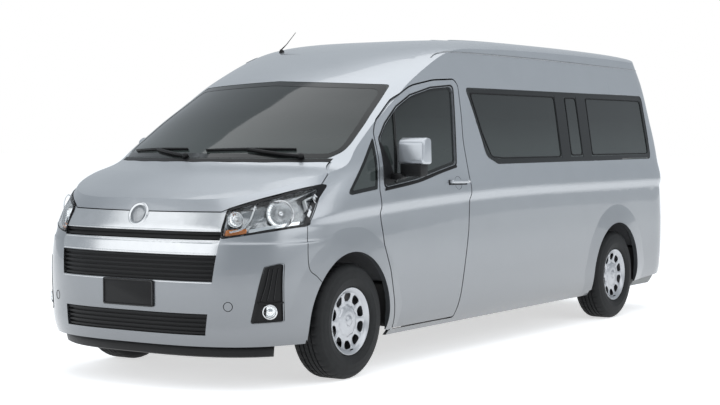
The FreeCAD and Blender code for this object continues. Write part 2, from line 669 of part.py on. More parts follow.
def underbody():
    # Fuel tank and exhaust, hung from the floor.
    under = FLOOR_TOP - FLOOR_THICK - SEAT_GAP
    outline = [(1500, 330, 40), (1500, under - 40), (2500, under - 40), (2500, 330, 40)]
    tank = side_prism(outline, 0, 1, 0, 380, 800)
    straps = [box(360, 820, y, y + 40, 318, under).cut(tank) for y in (1650, 2300)]
    silencer = Part.makeCylinder(95, 700, V(-520, 2100, 400), V(0, 1, 0))
    front_pipe = Part.makeCylinder(26, 2100, V(-520, 20, 400), V(0, 1, 0))
    tail_pipe = Part.makeCylinder(24, WHEELBASE - 2790 - 560, V(-520, 2790, 400), V(0, 1, 0))
    hangers = [box(-535, -505, y, y + 20, 420, under) for y in (300, 1900, 3100)]
    exhaust = silencer.fuse([front_pipe, tail_pipe] + hangers)
    return Part.Compound([tank.fuse(straps), exhaust])


def grille_slats():
    # Black slats in the three openings, on one backing sheet.
    slats = []
    for (low, high, count), points in zip(SLATS, (MID_GRILLE, LOWER_GRILLE, UPPER_GRILLE)):
        zone = front_zone(points, -0.5, -1300, -500)
        pitch = (high - low) / count
        for i in range(count):
            z = low + pitch * (i + 0.5)
            slats.append(zone.common(box(-700, 700, -1300, -500, z - SLAT / 2, z + SLAT / 2)))
    bars = layer(Part.Compound(slats), SLAT_SINK, SLAT_BACK, WALL_ROWS)
    zone = front_zone([(0, 305), (550, 305), (592, 640), (592, 948), (0, 948)], 0, -1300, -500)
    plate = layer(zone, PANEL + SEAT_GAP, SLAT_BACK, WALL_ROWS)
    return solids(plate.fuse(bars))


def main():
    parts = {}
    outer = skin(0)
    ridges = [flare(outer, 0), flare(outer, WHEELBASE)]
    front_low = box(-1300, 1300, -1300, FENDER_FOOT, 0, BUMPER_LOW)
    outer = outer.fuse(ridges + [mirrored(r) for r in ridges])
    outer = outer.cut([side_prism(REAR_LOW), front_low])
    panel_back = skin(PANEL)
    lining_back = skin(PANEL + LINING, PLAIN_ROWS)
    house = WHEELHOUSE_RADIUS + LINER + SEAT_GAP
    panel_arches = arches(ARCH_RADIUS, house)
    lining_arches = arches(house, house)
    panels = outer.cut([panel_back] + panel_arches)
    whole = outer.cut([lining_back] + panel_arches)
    side_lining = skin(PANEL + LINING_GAP, PLAIN_ROWS).cut(lining_back).cut(lining_arches)
    inside = skin(PANEL + LINING + SEAT_GAP, PLAIN_ROWS)

    bonnet = bonnet_zone(0)
    bonnet_hole = bonnet_zone(SHUT_GAP)
    screen = front_zone(SCREEN)
    cowl = front_zone(COWL)
    lamp_half = front_prism(LAMP).common(side_prism(LAMP_SIDE))
    lamps = [lamp_half, mirrored(lamp_half)]
    front = side_prism(BUMPER_BACK)
    centre = front_zone(CENTRE)
    openings = [front_zone(g) for g in (UPPER_GRILLE, MID_GRILLE, LOWER_GRILLE)]
    fog_half = front_prism(FOG, 0, 0, -1300, FOG_BACK)
    fogs = [fog_half, mirrored(fog_half)]
    roof_zone = plan_prism(mirror_points(ROOF), low=1500)
    back = (WHEELBASE + 500, WHEELBASE + 1400)
    tailgate = front_prism(mirror_points(TAILGATE), 0, 0, *back)
    tailgate_hole = front_prism(mirror_points(TAILGATE), 0, SHUT_GAP, *back)
    rear_window = front_prism(mirror_points(REAR_WINDOW), 0, 0, *back)
    rear_bumper = side_prism(REAR_BUMPER)
    tail_half = side_prism(TAIL_LAMP, 0, 1, 0, 806 + SHUT_GAP)
    tail_zone = [tail_half, mirrored(tail_half)]

    door_holes = []
    parts["bonnet"] = solids(panels.common(bonnet))
    panes = [front_zone(SCREEN, -PANE_GAP)]
    rest = panels.cut([bonnet_hole, screen])
    parts["cowl"] = solids(rest.common(cowl))
    rest = rest.cut(cowl)
    parts["roof_panel"] = solids(rest.common(roof_zone).cut(tailgate_hole))
    rest = rest.cut(roof_zone).cut(tailgate_hole)
    fascia = rest.common(front).cut(lamps)
    parts["grille_trim"] = solids(fascia.common(centre).cut(openings))
    parts["bumper_front"] = solids(fascia.cut([centre] + openings + fogs))
    parts["grille_slats"] = grille_slats()
    lamp_shells = [front_prism(LAMP, 0, -0.5).common(side_prism(LAMP_SIDE, 0, 0, -0.5))]
    lamp_shells.append(mirrored(lamp_shells[0]))
    parts["headlamps"] = solids(layer(Part.Compound(lamp_shells), LENS_SINK, LAMP_DEPTH))
    parts["lamp_lenses"] = solids(layer(Part.Compound(lamp_shells), LENS_OUT, LENS_SINK - SEAT_GAP))
    fog_shells = [front_prism(FOG, 0, -0.5, -1300, FOG_BACK)]
    fog_shells.append(mirrored(fog_shells[0]))
    parts["fog_lamps"] = solids(layer(Part.Compound(fog_shells), FOG_SINK, FOG_DEPTH))
    parts["bumper_rear"] = solids(rest.common(rear_bumper))
    parts["tail_lamps"] = solids(rest.cut(rear_bumper).common(Part.Compound(tail_zone)))
    rest = rest.cut([rear_bumper] + tail_zone)
    parts["tailgate"] = solids(whole.common(tailgate).cut(rear_window))
    rear_pane = front_prism(mirror_points(REAR_WINDOW), 0, -PANE_GAP, *back)
    parts["tailgate_glass"] = solids(layer(rear_pane, GLASS_SINK, GLASS_SINK + GLASS))

    for side, name in ((1, "left"), (-1, "right")):
        fender = side_prism(FENDER, 0, side)
        door = side_prism(DOOR, 0, side).cut(front_zone(SCREEN, PILLAR))
        door_hole = side_prism(DOOR, 0, side, DOOR_GAP).cut(front_zone(SCREEN, PILLAR - DOOR_GAP))
        door_holes.append(door_hole)
        window = side_prism(DOOR_WINDOW, 0, side)
        quarter = side_prism(QUARTER, 0, side)
        behind = B_SEAM + [(1425, 100), (WHEELBASE + 1400, 100), (WHEELBASE + 1400, 2600)]
        behind = side_prism(behind, 0, side)
        reach = (0, 1300) if side > 0 else (-1300, 0)
        half = rest.common(box(*reach, -1300, 6000, 100, 2600))
        parts["fender_" + name] = solids(half.common(fender).cut([door_hole, quarter]))
        flank = half.cut([fender, side_prism(BUMPER_BACK, 0, side)])
        parts["cab_side_" + name] = solids(flank.cut([behind, door_hole, quarter]))
        side_panel = flank.common(behind)
        lining_half = side_lining.common(box(*reach, LINING_START, 6000, 100, 2600))
        lining_half = lining_half.cut(roof_zone).cut(tailgate_hole).cut(door_hole)
        panes.append(side_prism(QUARTER, 0, side, -PANE_GAP))
        if side > 0:
            parts["side_panel_" + name] = solids(side_panel.cut(side_prism(SIDE_GLASS, 0, side)))
            parts["lining_" + name] = solids(lining_half.cut(side_prism(SIDE_GLASS, 0, side, -FLANGE)))
            panes.append(side_prism(SIDE_GLASS, 0, side, -PANE_GAP))
        else:
            sliding = side_prism(SLIDING_DOOR, 0, side)
            sliding_hole = side_prism(SLIDING_DOOR, 0, side, SEAT_GAP)
            rear_glass = side_prism(REAR_GLASS, 0, side)
            parts["side_panel_" + name] = solids(side_panel.cut([sliding_hole, rear_glass]))
            lining_half = lining_half.cut([sliding_hole, side_prism(REAR_GLASS, 0, side, -FLANGE)])
            parts["lining_" + name] = solids(lining_half)
            parts["sliding_door"] = solids(whole.common(sliding).cut(side_prism(SLIDING_GLASS, 0, side)))
            panes.append(side_prism(SLIDING_GLASS, 0, side, -PANE_GAP))
            panes.append(side_prism(REAR_GLASS, 0, side, -PANE_GAP))
        parts["door_" + name] = solids(whole.common(door).cut(window))
        pane = side_prism(DOOR_WINDOW, 0, side, -PANE_GAP)
        parts["door_glass_" + name] = solids(layer(pane, DOOR_GLASS_SINK, DOOR_GLASS_SINK + GLASS))
    parts["fixed_glass"] = solids(layer(Part.Compound(panes), GLASS_SINK, GLASS_SINK + GLASS))
    roof_lining = layer(roof_zone, PANEL + SEAT_GAP, PANEL + LINING)
    parts["roof_lining"] = solids(roof_lining.cut(screen).cut(tailgate_hole).cut(door_holes))
    parts["floor_pan"] = floor_pan(inside)
    parts["wheelhouses_front"] = wheelhouses(inside, 0)
    parts["wheelhouses_rear"] = wheelhouses(inside, WHEELBASE)
    parts["engine_block"] = engine_block()
    parts["dashboard"], parts["steering_wheel"] = dashboard()
    parts.update(seats())
    parts["front_suspension"] = front_suspension()
    parts["rear_axle"] = Part.Compound([rear_axle()] + leaf_springs())
    parts["underbody"] = underbody()
    parts["mirror_left"] = door_mirror()
    parts["mirror_right"] = mirrored(parts["mirror_left"])
    parts["knuckle_left"] = knuckle()
    parts["knuckle_right"] = mirrored(parts["knuckle_left"])
    for y, end in ((0, "front"), (WHEELBASE, "rear")):
        for side, name in ((1, "left"), (-1, "right")):
            tyre, rim = wheel(y, side)
            parts["tyre_" + end + "_" + name] = tyre
            parts["wheel_" + end + "_" + name] = rim
    for name, shape in parts.items():
        print(name, shape.isValid(), len(shape.Solids), round(shape.Volume / 1e6, 1))
    os.makedirs("parts", exist_ok=True)
    middle = (WHEELBASE + REAR_OVERHANG - FRONT_OVERHANG) / 2
    for name, shape in parts.items():
        shape.translate(V(0, -middle, 0))
        shape.exportStep("parts/" + name + ".step")


main()
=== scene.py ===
import json
import math

import bmesh
import bpy
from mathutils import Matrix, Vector
from mathutils.bvhtree import BVHTree


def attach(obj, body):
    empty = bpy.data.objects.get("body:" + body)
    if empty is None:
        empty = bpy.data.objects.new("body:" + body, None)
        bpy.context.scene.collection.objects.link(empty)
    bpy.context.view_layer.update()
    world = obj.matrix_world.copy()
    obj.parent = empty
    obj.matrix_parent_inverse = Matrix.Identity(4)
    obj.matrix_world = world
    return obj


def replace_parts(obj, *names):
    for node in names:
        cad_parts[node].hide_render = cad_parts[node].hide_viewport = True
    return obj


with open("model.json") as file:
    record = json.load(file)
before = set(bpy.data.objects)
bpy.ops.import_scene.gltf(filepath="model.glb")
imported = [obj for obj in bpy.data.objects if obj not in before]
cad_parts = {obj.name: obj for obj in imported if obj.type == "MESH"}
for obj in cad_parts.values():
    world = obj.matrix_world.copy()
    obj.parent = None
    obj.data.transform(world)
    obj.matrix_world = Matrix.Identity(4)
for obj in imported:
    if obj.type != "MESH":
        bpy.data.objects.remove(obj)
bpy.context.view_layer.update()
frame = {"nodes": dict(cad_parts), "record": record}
nodes = frame["nodes"]

# Places along the vehicle are written from the front axle, as in the part's source, and in metres.
MIDDLE = 2.000
WHEELBASE = 3.860
# Height and distance from the middle of a wheel's centre, radius of the wheel arches, top of the cabin floor
HUB = 0.352
WHEEL_X = 0.836
ARCH = 0.446
FLOOR_Z = 0.600

camera_data = bpy.data.cameras.new("camera")
camera = bpy.data.objects.new("camera", camera_data)
bpy.context.scene.collection.objects.link(camera)
camera_data.sensor_width = 36.0
camera_data.lens = 78.0
camera_data.shift_x = -0.0221
camera_data.shift_y = -0.0023
camera.location = (6.1522, -7.8197 - MIDDLE, 1.4611)
yaw, pitch = 0.5722, -0.0404
forward = Vector((-math.sin(yaw) * math.cos(pitch), math.cos(yaw) * math.cos(pitch), math.sin(pitch)))
camera.rotation_mode = "QUATERNION"
camera.rotation_quaternion = forward.to_track_quat("-Z", "Y")
bpy.context.scene.camera = camera


# Materials

def add(tree, kind, **inputs):
    node = tree.nodes.new("ShaderNode" + kind)
    for key, value in inputs.items():
        node.inputs[key.replace("_", " ")].default_value = value
    return node


def output_of(tree, kind):
    return next(n for n in tree.nodes if n.bl_idname == "ShaderNode" + kind)


def material(name, color, rough, metal=0.0, vary=0.08, scale=6.0, bump=0.0, bump_scale=200.0, rough_vary=0.08,
             **sockets):
    m = bpy.data.materials.new(name)
    m.use_nodes = True
    tree = m.node_tree
    link = tree.links.new
    shader = tree.nodes["Principled BSDF"]
    place = add(tree, "TexCoord")
    cloud = add(tree, "TexNoise", Scale=scale, Detail=6.0)
    link(place.outputs["Object"], cloud.inputs["Vector"])
    ramp = add(tree, "ValToRGB")
    ramp.color_ramp.elements[0].position = 0.3
    ramp.color_ramp.elements[1].position = 0.7
    ramp.color_ramp.elements[0].color = (*[c * (1 - vary) for c in color], 1)
    ramp.color_ramp.elements[1].color = (*[min(1, c * (1 + vary)) for c in color], 1)
    link(cloud.outputs["Fac"], ramp.inputs["Fac"])
    link(ramp.outputs["Color"], shader.inputs["Base Color"])
    spread = add(tree, "MapRange", To_Min=max(0.02, rough * (1 - rough_vary)),
                 To_Max=min(1, rough * (1 + rough_vary)))
    link(cloud.outputs["Fac"], spread.inputs["Value"])
    link(spread.outputs["Result"], shader.inputs["Roughness"])
    shader.inputs["Metallic"].default_value = metal
    for key, value in sockets.items():
        shader.inputs[key.replace("_", " ")].default_value = value
    if bump:
        grain = add(tree, "TexNoise", Scale=bump_scale, Detail=3.0)
        link(place.outputs["Object"], grain.inputs["Vector"])
        raised = add(tree, "Bump", Strength=bump, Distance=0.001)
        link(grain.outputs["Fac"], raised.inputs["Height"])
        link(raised.outputs["Normal"], shader.inputs["Normal"])
    return m


def shade_by_height(m, stops):
    # Multiplies the colour by a ramp over the height on the object, which paints light and shade into the colour.
    tree = m.node_tree
    link = tree.links.new
    color = tree.nodes["Principled BSDF"].inputs["Base Color"]
    before = color.links[0].from_socket
    parts = add(tree, "SeparateXYZ")
    link(output_of(tree, "TexCoord").outputs["Object"], parts.inputs["Vector"])
    low, high = stops[0][0], stops[-1][0]
    spread = add(tree, "MapRange", From_Min=low, From_Max=high)
    link(parts.outputs["Z"], spread.inputs["Value"])
    ramp = add(tree, "ValToRGB")
    marks = ramp.color_ramp.elements
    while len(marks) < len(stops):
        marks.new(0.5)
    for mark, (z, value) in zip(marks, stops):
        mark.position = (z - low) / (high - low)
        mark.color = (value, value, value, 1)
    link(spread.outputs["Result"], ramp.inputs["Fac"])
    mix = add(tree, "Mix", Factor=1.0)
    mix.data_type = "RGBA"
    mix.blend_type = "MULTIPLY"
    link(before, mix.inputs[6])
    link(ramp.outputs["Color"], mix.inputs[7])
    link(mix.outputs[2], color)


def flakes(m, scale=900.0, strength=0.12):
    # The fine sparkle of metal flakes under the clear coat.
    tree = m.node_tree
    link = tree.links.new
    cells = add(tree, "TexVoronoi", Scale=scale)
    link(output_of(tree, "TexCoord").outputs["Object"], cells.inputs["Vector"])
    raised = add(tree, "Bump", Strength=strength, Distance=0.0005)
    link(cells.outputs["Color"], raised.inputs["Height"])
    link(raised.outputs["Normal"], tree.nodes["Principled BSDF"].inputs["Normal"])


paint = material("silver_paint", (0.46, 0.482, 0.508), 0.30, 0.78, vary=0.02, scale=3.0, Coat_Weight=0.8,
                 Coat_Roughness=0.04)
flakes(paint)
# Painted shade: the paint darkens towards the bottom and is lightest at the shoulders, in place of the darker
# reflections low on the flanks and the bright ones above.
shade_by_height(paint, [(0.25, 0.40), (0.55, 0.52), (0.85, 0.70), (1.08, 0.84), (1.16, 0.96), (1.5, 1.0)])
chrome = material("satin_chrome", (0.62, 0.63, 0.64), 0.20, 1.0, vary=0.03, scale=12.0)
mirror = material("mirror_glass", (0.85, 0.87, 0.88), 0.04, 1.0, vary=0.01)
black = material("black_plastic", (0.008, 0.008, 0.0085), 0.42, vary=0.2, bump=0.25, bump_scale=900.0,
                 Specular_IOR_Level=0.22)
gloss_black = material("gloss_black", (0.006, 0.006, 0.007), 0.14, vary=0.15, Specular_IOR_Level=0.3)
frit = material("window_border", (0.005, 0.006, 0.006), 0.14, vary=0.15, Specular_IOR_Level=0.35)
rubber = material("seal_rubber", (0.010, 0.010, 0.011), 0.7, vary=0.15, bump=0.3, bump_scale=600.0,
                  Specular_IOR_Level=0.2)
tyre_mat = material("tyre_rubber", (0.014, 0.0145, 0.015), 0.62, vary=0.25, scale=20.0, bump=0.3, bump_scale=350.0,
                    Specular_IOR_Level=0.25)
cover = material("wheel_silver", (0.47, 0.48, 0.50), 0.30, 0.75, vary=0.03, scale=20.0, Coat_Weight=0.4)
flakes(cover, 1200.0, 0.08)
steel = material("dark_steel", (0.09, 0.09, 0.095), 0.45, 0.8, vary=0.2, scale=15.0, bump=0.3)
glass = material("window_glass", (0.060, 0.072, 0.069), 0.05, vary=0.04, IOR=1.45, Transmission_Weight=0.18)
# Painted reflection: the glass is lighter low down, where it would mirror the pale floor, and darker towards the top.
shade_by_height(glass, [(1.2, 1.0), (1.42, 0.72), (1.6, 0.40), (1.9, 0.22)])
clear = material("clear_lens", (0.97, 0.98, 0.98), 0.03, vary=0.005, IOR=1.25, Transmission_Weight=1.0)
red = material("red_lens", (0.32, 0.008, 0.012), 0.12, vary=0.05, Coat_Weight=0.6, Transmission_Weight=0.25)
amber = material("amber_lens", (0.55, 0.16, 0.02), 0.15, vary=0.05, Coat_Weight=0.5)
bowl = material("lamp_bowl", (0.78, 0.79, 0.80), 0.12, 1.0, vary=0.03, scale=30.0)
smoke = material("lamp_housing", (0.30, 0.31, 0.32), 0.18, 0.9, vary=0.15, scale=30.0)
bulb = material("bulb_glass", (0.93, 0.94, 0.95), 0.05, vary=0.01, Coat_Weight=0.6)
fabric = material("seat_fabric", (0.115, 0.12, 0.13), 0.9, vary=0.18, scale=40.0, bump=0.6, bump_scale=700.0,
                  Sheen_Weight=0.4)
piping = material("seat_piping", (0.055, 0.057, 0.06), 0.8, vary=0.15, bump=0.4, bump_scale=900.0)
lining = material("lining_felt", (0.42, 0.42, 0.41), 0.85, vary=0.06, scale=30.0, bump=0.35, bump_scale=500.0)
dash = material("dashboard_plastic", (0.07, 0.072, 0.075), 0.6, vary=0.1, scale=20.0, bump=0.5, bump_scale=420.0)
floor_mat = material("floor_vinyl", (0.13, 0.13, 0.135), 0.7, vary=0.12, scale=30.0, bump=0.4, bump_scale=260.0)
cast = material("cast_metal", (0.24, 0.24, 0.245), 0.55, 0.8, vary=0.15, scale=30.0, bump=0.5, bump_scale=240.0)
chassis = material("chassis_black", (0.03, 0.03, 0.032), 0.6, vary=0.2, scale=20.0, bump=0.3, bump_scale=240.0)

slots = {"paint": paint, "bright_trim": chrome, "black_plastic": black, "window_glass": glass, "tyre": tyre_mat,
         "wheel_cover": cover, "lamp_bowl": bowl, "clear_lens": clear, "red_lens": red, "lining": lining,
         "floor": floor_mat, "cast": cast, "chassis": chassis, "seat_fabric": fabric, "dash": dash}
for entry in frame["record"]["subparts"]:
    o = nodes[entry["node"]]
    o.data.materials.clear()
    o.data.materials.append(slots[entry["material_slot"]])
slot_of = {m: s for s, m in slots.items()}
slot_of.update({gloss_black: "black_plastic", frit: "black_plastic", rubber: "black_plastic", mirror: "bright_trim",
                steel: "chassis", amber: "red_lens", smoke: "lamp_bowl",
                bulb: "clear_lens", piping: "seat_fabric"})


# Mesh helpers

def piece(name, mesh, mat, body="root", smooth=True, bevel=0.0, subdivide=0):
    o = bpy.data.objects.new(name, mesh)
    bpy.context.scene.collection.objects.link(o)
    mesh.materials.append(mat)
    if smooth:
        for face in mesh.polygons:
            face.use_smooth = True
    if bevel:
        edge = o.modifiers.new("bevel", "BEVEL")
        edge.width = bevel
        edge.segments = 2
        edge.limit_method = "ANGLE"
        edge.angle_limit = 0.6
    if subdivide:
        smoothing = o.modifiers.new("subdivide", "SUBSURF")
        smoothing.levels = subdivide
        smoothing.render_levels = subdivide
    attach(o, body)
    return o


def mesh_of(name, vertices, faces):
    mesh = bpy.data.meshes.new(name)
    mesh.from_pydata([tuple(v) for v in vertices], [], faces)
    work = bmesh.new()
    work.from_mesh(mesh)
    bmesh.ops.recalc_face_normals(work, faces=work.faces)
    work.to_mesh(mesh)
    work.free()
    mesh.update()
    return mesh


def grid(rows, n, loop=False, open_rows=False):
    # Faces between rows of n points: a row closes on itself unless open_rows, and loop joins the last to the first.
    return [(a * n + i, a * n + (i + 1) % n, (a + 1) % rows * n + (i + 1) % n, (a + 1) % rows * n + i)
            for a in range(rows if loop else rows - 1) for i in range(n - 1 if open_rows else n)]


def build(name, vertices, faces, mat, body="root", sharp=0, **more):
    o = piece(name, mesh_of(name, vertices, faces), mat, body, **more)
    if sharp:
        o.data.set_sharp_from_angle(angle=math.radians(sharp))
    return o


def tree_of(*names):
    vertices, faces = [], []
    for name in names:
        mesh = nodes[name].data
        start = len(vertices)
        vertices += [v.co.copy() for v in mesh.vertices]
        faces += [[start + i for i in p.vertices] for p in mesh.polygons]
    return BVHTree.FromPolygons(vertices, faces)


def ray(view, a, b):
    if view == "left":
        return Vector((2, a - MIDDLE, b)), Vector((-1, 0, 0))
    if view == "right":
        return Vector((-2, a - MIDDLE, b)), Vector((1, 0, 0))
    if view == "front":
        return Vector((a, -4, b)), Vector((0, 1, 0))
    if view == "rear":
        return Vector((a, 4, b)), Vector((0, -1, 0))
    return Vector((a, b - MIDDLE, 3)), Vector((0, 0, -1))


def land(tree, view, spots):
    # Where the spots fall on a surface, and which way it faces there.
    found = []
    last = None
    for a, b in spots:
        start, way = ray(view, a, b)
        hit, normal, _, _ = tree.ray_cast(start, way)
        if hit is None:
            depth = (last - start).dot(way) if last else 2.0
            hit, normal, _, _ = tree.find_nearest(start + way * depth)
        if normal.dot(way) > 0:
            normal = -normal
        found.append((hit.copy(), normal.copy()))
        last = hit
    return found


def at(tree, view, a, b):
    return land(tree, view, [(a, b)])[0]


def even(points, step, closed=False):
    ends = points[1:] + (points[:1] if closed else [])
    out = []
    for p, q in zip(points, ends):
        n = max(1, round(math.dist(p, q) / step))
        out += [tuple(a + (b - a) * i / n for a, b in zip(p, q)) for i in range(n)]
    return out if closed else out + [points[-1]]


def curve(points, count=8):
    # A smooth line through a few points.
    n = len(points)
    out = []
    for i in range(n - 1):
        p0, p1, p2, p3 = points[max(i - 1, 0)], points[i], points[i + 1], points[min(i + 2, n - 1)]
        for k in range(count):
            t = k / count
            out.append(tuple(0.5 * (2 * b + (c - a) * t + (2 * a - 5 * b + 4 * c - d) * t * t
                                    + (3 * b - a - 3 * c + d) * t ** 3) for a, b, c, d in zip(p0, p1, p2, p3)))
    return out + [tuple(points[-1])]


def smooth_normals(found, closed, reach=2):
    n = len(found)
    out = []
    for i, (p, _) in enumerate(found):
        total = Vector()
        for k in range(-reach, reach + 1):
            j = (i + k) % n if closed else min(max(i + k, 0), n - 1)
            total += found[j][1]
        out.append((p, total.normalized()))
    return out


def strip(name, tree, view, points, width, rise, mat, body="root", sink=0.004, taper=0.0):
    # A moulding of one width that lies along a line on a surface.
    found = smooth_normals(land(tree, view, even(points, 0.015)), False)
    n = len(found)
    profile = [(-0.5, -sink), (-0.5, rise * 0.5), (-0.36, rise), (0.36, rise), (0.5, rise * 0.5), (0.5, -sink)]
    vertices = []
    for i, (p, normal) in enumerate(found):
        before, after = found[max(i - 1, 0)][0], found[min(i + 1, n - 1)][0]
        across = normal.cross((after - before).normalized())
        share = 1 - taper * abs(2 * i / (n - 1) - 1) ** 3
        vertices += [p + across * (a * width * share) + normal * h for a, h in profile]
    m = len(profile)
    faces = grid(n, m) + [tuple(range(m)), tuple(range((n - 1) * m, n * m))]
    return build(name, vertices, faces, mat, body)


def rounded(corners, arc=6, side=10):
    # The outline of a polygon with (a, b, radius) corners, the same count of points at each corner.
    n = len(corners)
    arcs = []
    for i in range(n):
        a, b, r = corners[i]
        p, q, c = Vector(corners[i - 1][:2]), Vector(corners[(i + 1) % n][:2]), Vector((a, b))
        u, v = (p - c).normalized(), (q - c).normalized()
        angle = math.acos(max(-1, min(1, u.dot(v))))
        reach = min(r / math.tan(angle / 2), (p - c).length * 0.49, (q - c).length * 0.49)
        start, end = c + u * reach, c + v * reach
        arcs.append([(start * (1 - t) ** 2 + c * 2 * t * (1 - t) + end * t * t) for t in
                     [k / (arc - 1) for k in range(arc)]])
    out = []
    for i in range(n):
        out += [tuple(v) for v in arcs[i]]
        start, end = arcs[i][-1], arcs[(i + 1) % n][0]
        out += [tuple(start.lerp(end, k / side)) for k in range(1, side)]
    return out


def inset(corners, widths, radius):
    # The polygon with each side moved inwards; side i runs from corner i to the next.
    n = len(corners)
    if not isinstance(widths, (list, tuple)):
        widths = [widths] * n
    area = sum(corners[i][0] * corners[(i + 1) % n][1] - corners[(i + 1) % n][0] * corners[i][1] for i in range(n))
    turn = 1 if area > 0 else -1
    lines = []
    for i in range(n):
        p, q = Vector(corners[i][:2]), Vector(corners[(i + 1) % n][:2])
        d = (q - p).normalized()
        normal = Vector((-d.y, d.x)) * turn
        lines.append((p + normal * widths[i], d))
    out = []
    for i in range(n):
        (p, d), (q, e) = lines[i - 1], lines[i]
        cross = d.x * e.y - d.y * e.x
        spot = p + d * (((q - p).x * e.y - (q - p).y * e.x) / cross) if abs(cross) > 1e-6 else q
        out.append((spot.x, spot.y, radius))
    return out


def band(name, tree, view, outer, inner, rise, mat, body="root", sink=0.004, columns=3):
    # A frame between two outlines, laid on a surface.
    rings = [land(tree, view, [tuple(a + (b - a) * k / columns for a, b in zip(p, q)) for p, q in zip(outer, inner)])
             for k in range(columns + 1)]
    layers = [[p - nrm * sink for p, nrm in rings[0]]]
    layers += [[p + nrm * rise for p, nrm in ring] for ring in rings]
    layers.append([p - nrm * sink for p, nrm in rings[-1]])
    return build(name, [v for ring in layers for v in ring], grid(len(layers), len(outer), True), mat, body, 40)


def shrunk(outline, t):
    # The outline drawn in towards its middle, to t of its size.
    ca, cb = [sum(p[i] for p in outline) / len(outline) for i in (0, 1)]
    return [(ca + (a - ca) * t, cb + (b - cb) * t) for a, b in outline]


def patch(name, tree, view, outline, rise, mat, body="root", sink=0.004, rings=5):
    # A sheet that covers an outline on a surface, with a skirt that goes into it.
    n = len(outline)
    vertices = []
    for k in range(rings + 1):
        spots = shrunk(outline, 1 - k / rings if k < rings else 0.02)
        vertices += [p + nrm * rise for p, nrm in smooth_normals(land(tree, view, spots), True, 1)]
    vertices += [p - nrm * sink for p, nrm in land(tree, view, outline)]
    faces = grid(rings + 1, n)
    faces.append(tuple(range(rings * n, rings * n + n)))
    base = (rings + 1) * n
    faces += [(i, (i + 1) % n, base + (i + 1) % n, base + i) for i in range(n)]
    faces.append(tuple(range(base, base + n)))
    return build(name, vertices, faces, mat, body, 40)


def turned(name, profile, centre, axis, mat, body="root", segments=48, ribs=0, rib=0.0, hollow=False, **more):
    # A profile of (radius, distance along the axis) turned round an axis.
    turn = Vector(axis).normalized().to_track_quat("Z", "Y").to_matrix()
    vertices = []
    for i in range(segments):
        angle = 2 * math.pi * i / segments
        wave = 1 + rib * math.cos(ribs * angle) if ribs else 1
        vertices += [Vector(centre) + turn @ Vector((r * wave * math.cos(angle), r * wave * math.sin(angle), z))
                     for r, z in profile]
    m = len(profile)
    faces = grid(segments, m, True, True)
    if profile[0][0] > 1e-6 and profile[0] != profile[-1] and not hollow:
        faces.append(tuple(i * m for i in range(segments)))
    if profile[-1][0] > 1e-6 and profile[0] != profile[-1]:
        faces.append(tuple(i * m + m - 1 for i in range(segments)))
    mesh = mesh_of(name, vertices, faces)
    work = bmesh.new()
    work.from_mesh(mesh)
    bmesh.ops.remove_doubles(work, verts=work.verts, dist=1e-5)
    work.to_mesh(mesh)
    work.free()
    return piece(name, mesh, mat, body, **more)


def rod(name, points, radii, mat, body="root", sides=12):
    # A round bar along a line of points.
    line = [Vector(p) for p in points]
    n = len(line)
    radii = radii if isinstance(radii, (list, tuple)) else [radii] * n
    vertices = []
    up = Vector((0.1, 0.2, 1)).normalized()
    for i, (p, r) in enumerate(zip(line, radii)):
        way = (line[min(i + 1, n - 1)] - line[max(i - 1, 0)]).normalized()
        u = way.cross(up).normalized()
        v = way.cross(u).normalized()
        vertices += [p + (u * math.cos(t) + v * math.sin(t)) * r for t in
                     [2 * math.pi * k / sides for k in range(sides)]]
    faces = grid(n, sides) + [tuple(range(sides)), tuple(range((n - 1) * sides, n * sides))]
    return build(name, vertices, faces, mat, body)


def slab(name, outline, put, depth, mat, body="root", bevel=0.003):
    # A flat outline with a thickness: put(a, b, d) gives a point at a depth.
    n = len(outline)
    vertices = [put(a, b, 0) for a, b in outline] + [put(a, b, depth) for a, b in outline]
    faces = [tuple(range(n)), tuple(range(n, 2 * n))] + grid(2, n)
    return build(name, vertices, faces, mat, body, bevel=bevel)


def sideways(sign, x, step=1):
    # Puts an outline that is seen from the side at a distance x from the middle.
    return lambda a, b, d: Vector((sign * (x + step * d), a - MIDDLE, b))


def rectangle(half, low, high, radius):
    return rounded([(-half, low, radius), (half, low, radius), (half, high, radius), (-half, high, radius)])


def flip(points):
    return [(-p[0], *p[1:]) for p in points]


SIDES = ((1, "left"), (-1, "right"))
doors_tree = {s: tree_of("door_" + s) for _, s in SIDES}
glass_tree = {s: tree_of("door_glass_" + s) for _, s in SIDES}
flank_tree = {s: tree_of("side_panel_" + s, "fender_" + s, "cab_side_" + s, *doors, "fixed_glass", "bumper_front",
                         "bumper_rear", "roof_panel") for s, doors in (("left", ()), ("right", ("sliding_door",)))}
front_tree = tree_of("bumper_front", "grille_trim", "grille_slats", "lamp_lenses", "fender_left", "fender_right",
                     "fog_lamps")
skin_tree = tree_of("bumper_front", "grille_trim", "fender_left", "fender_right", "bonnet", "lamp_lenses")
screen_tree = tree_of("fixed_glass", "cab_side_left", "cab_side_right", "roof_panel", "cowl")
tail_tree = tree_of("tailgate", "tailgate_glass", "bumper_rear", "tail_lamps", "side_panel_left",
                    "side_panel_right")
top_tree = tree_of("roof_panel", "side_panel_left", "side_panel_right")

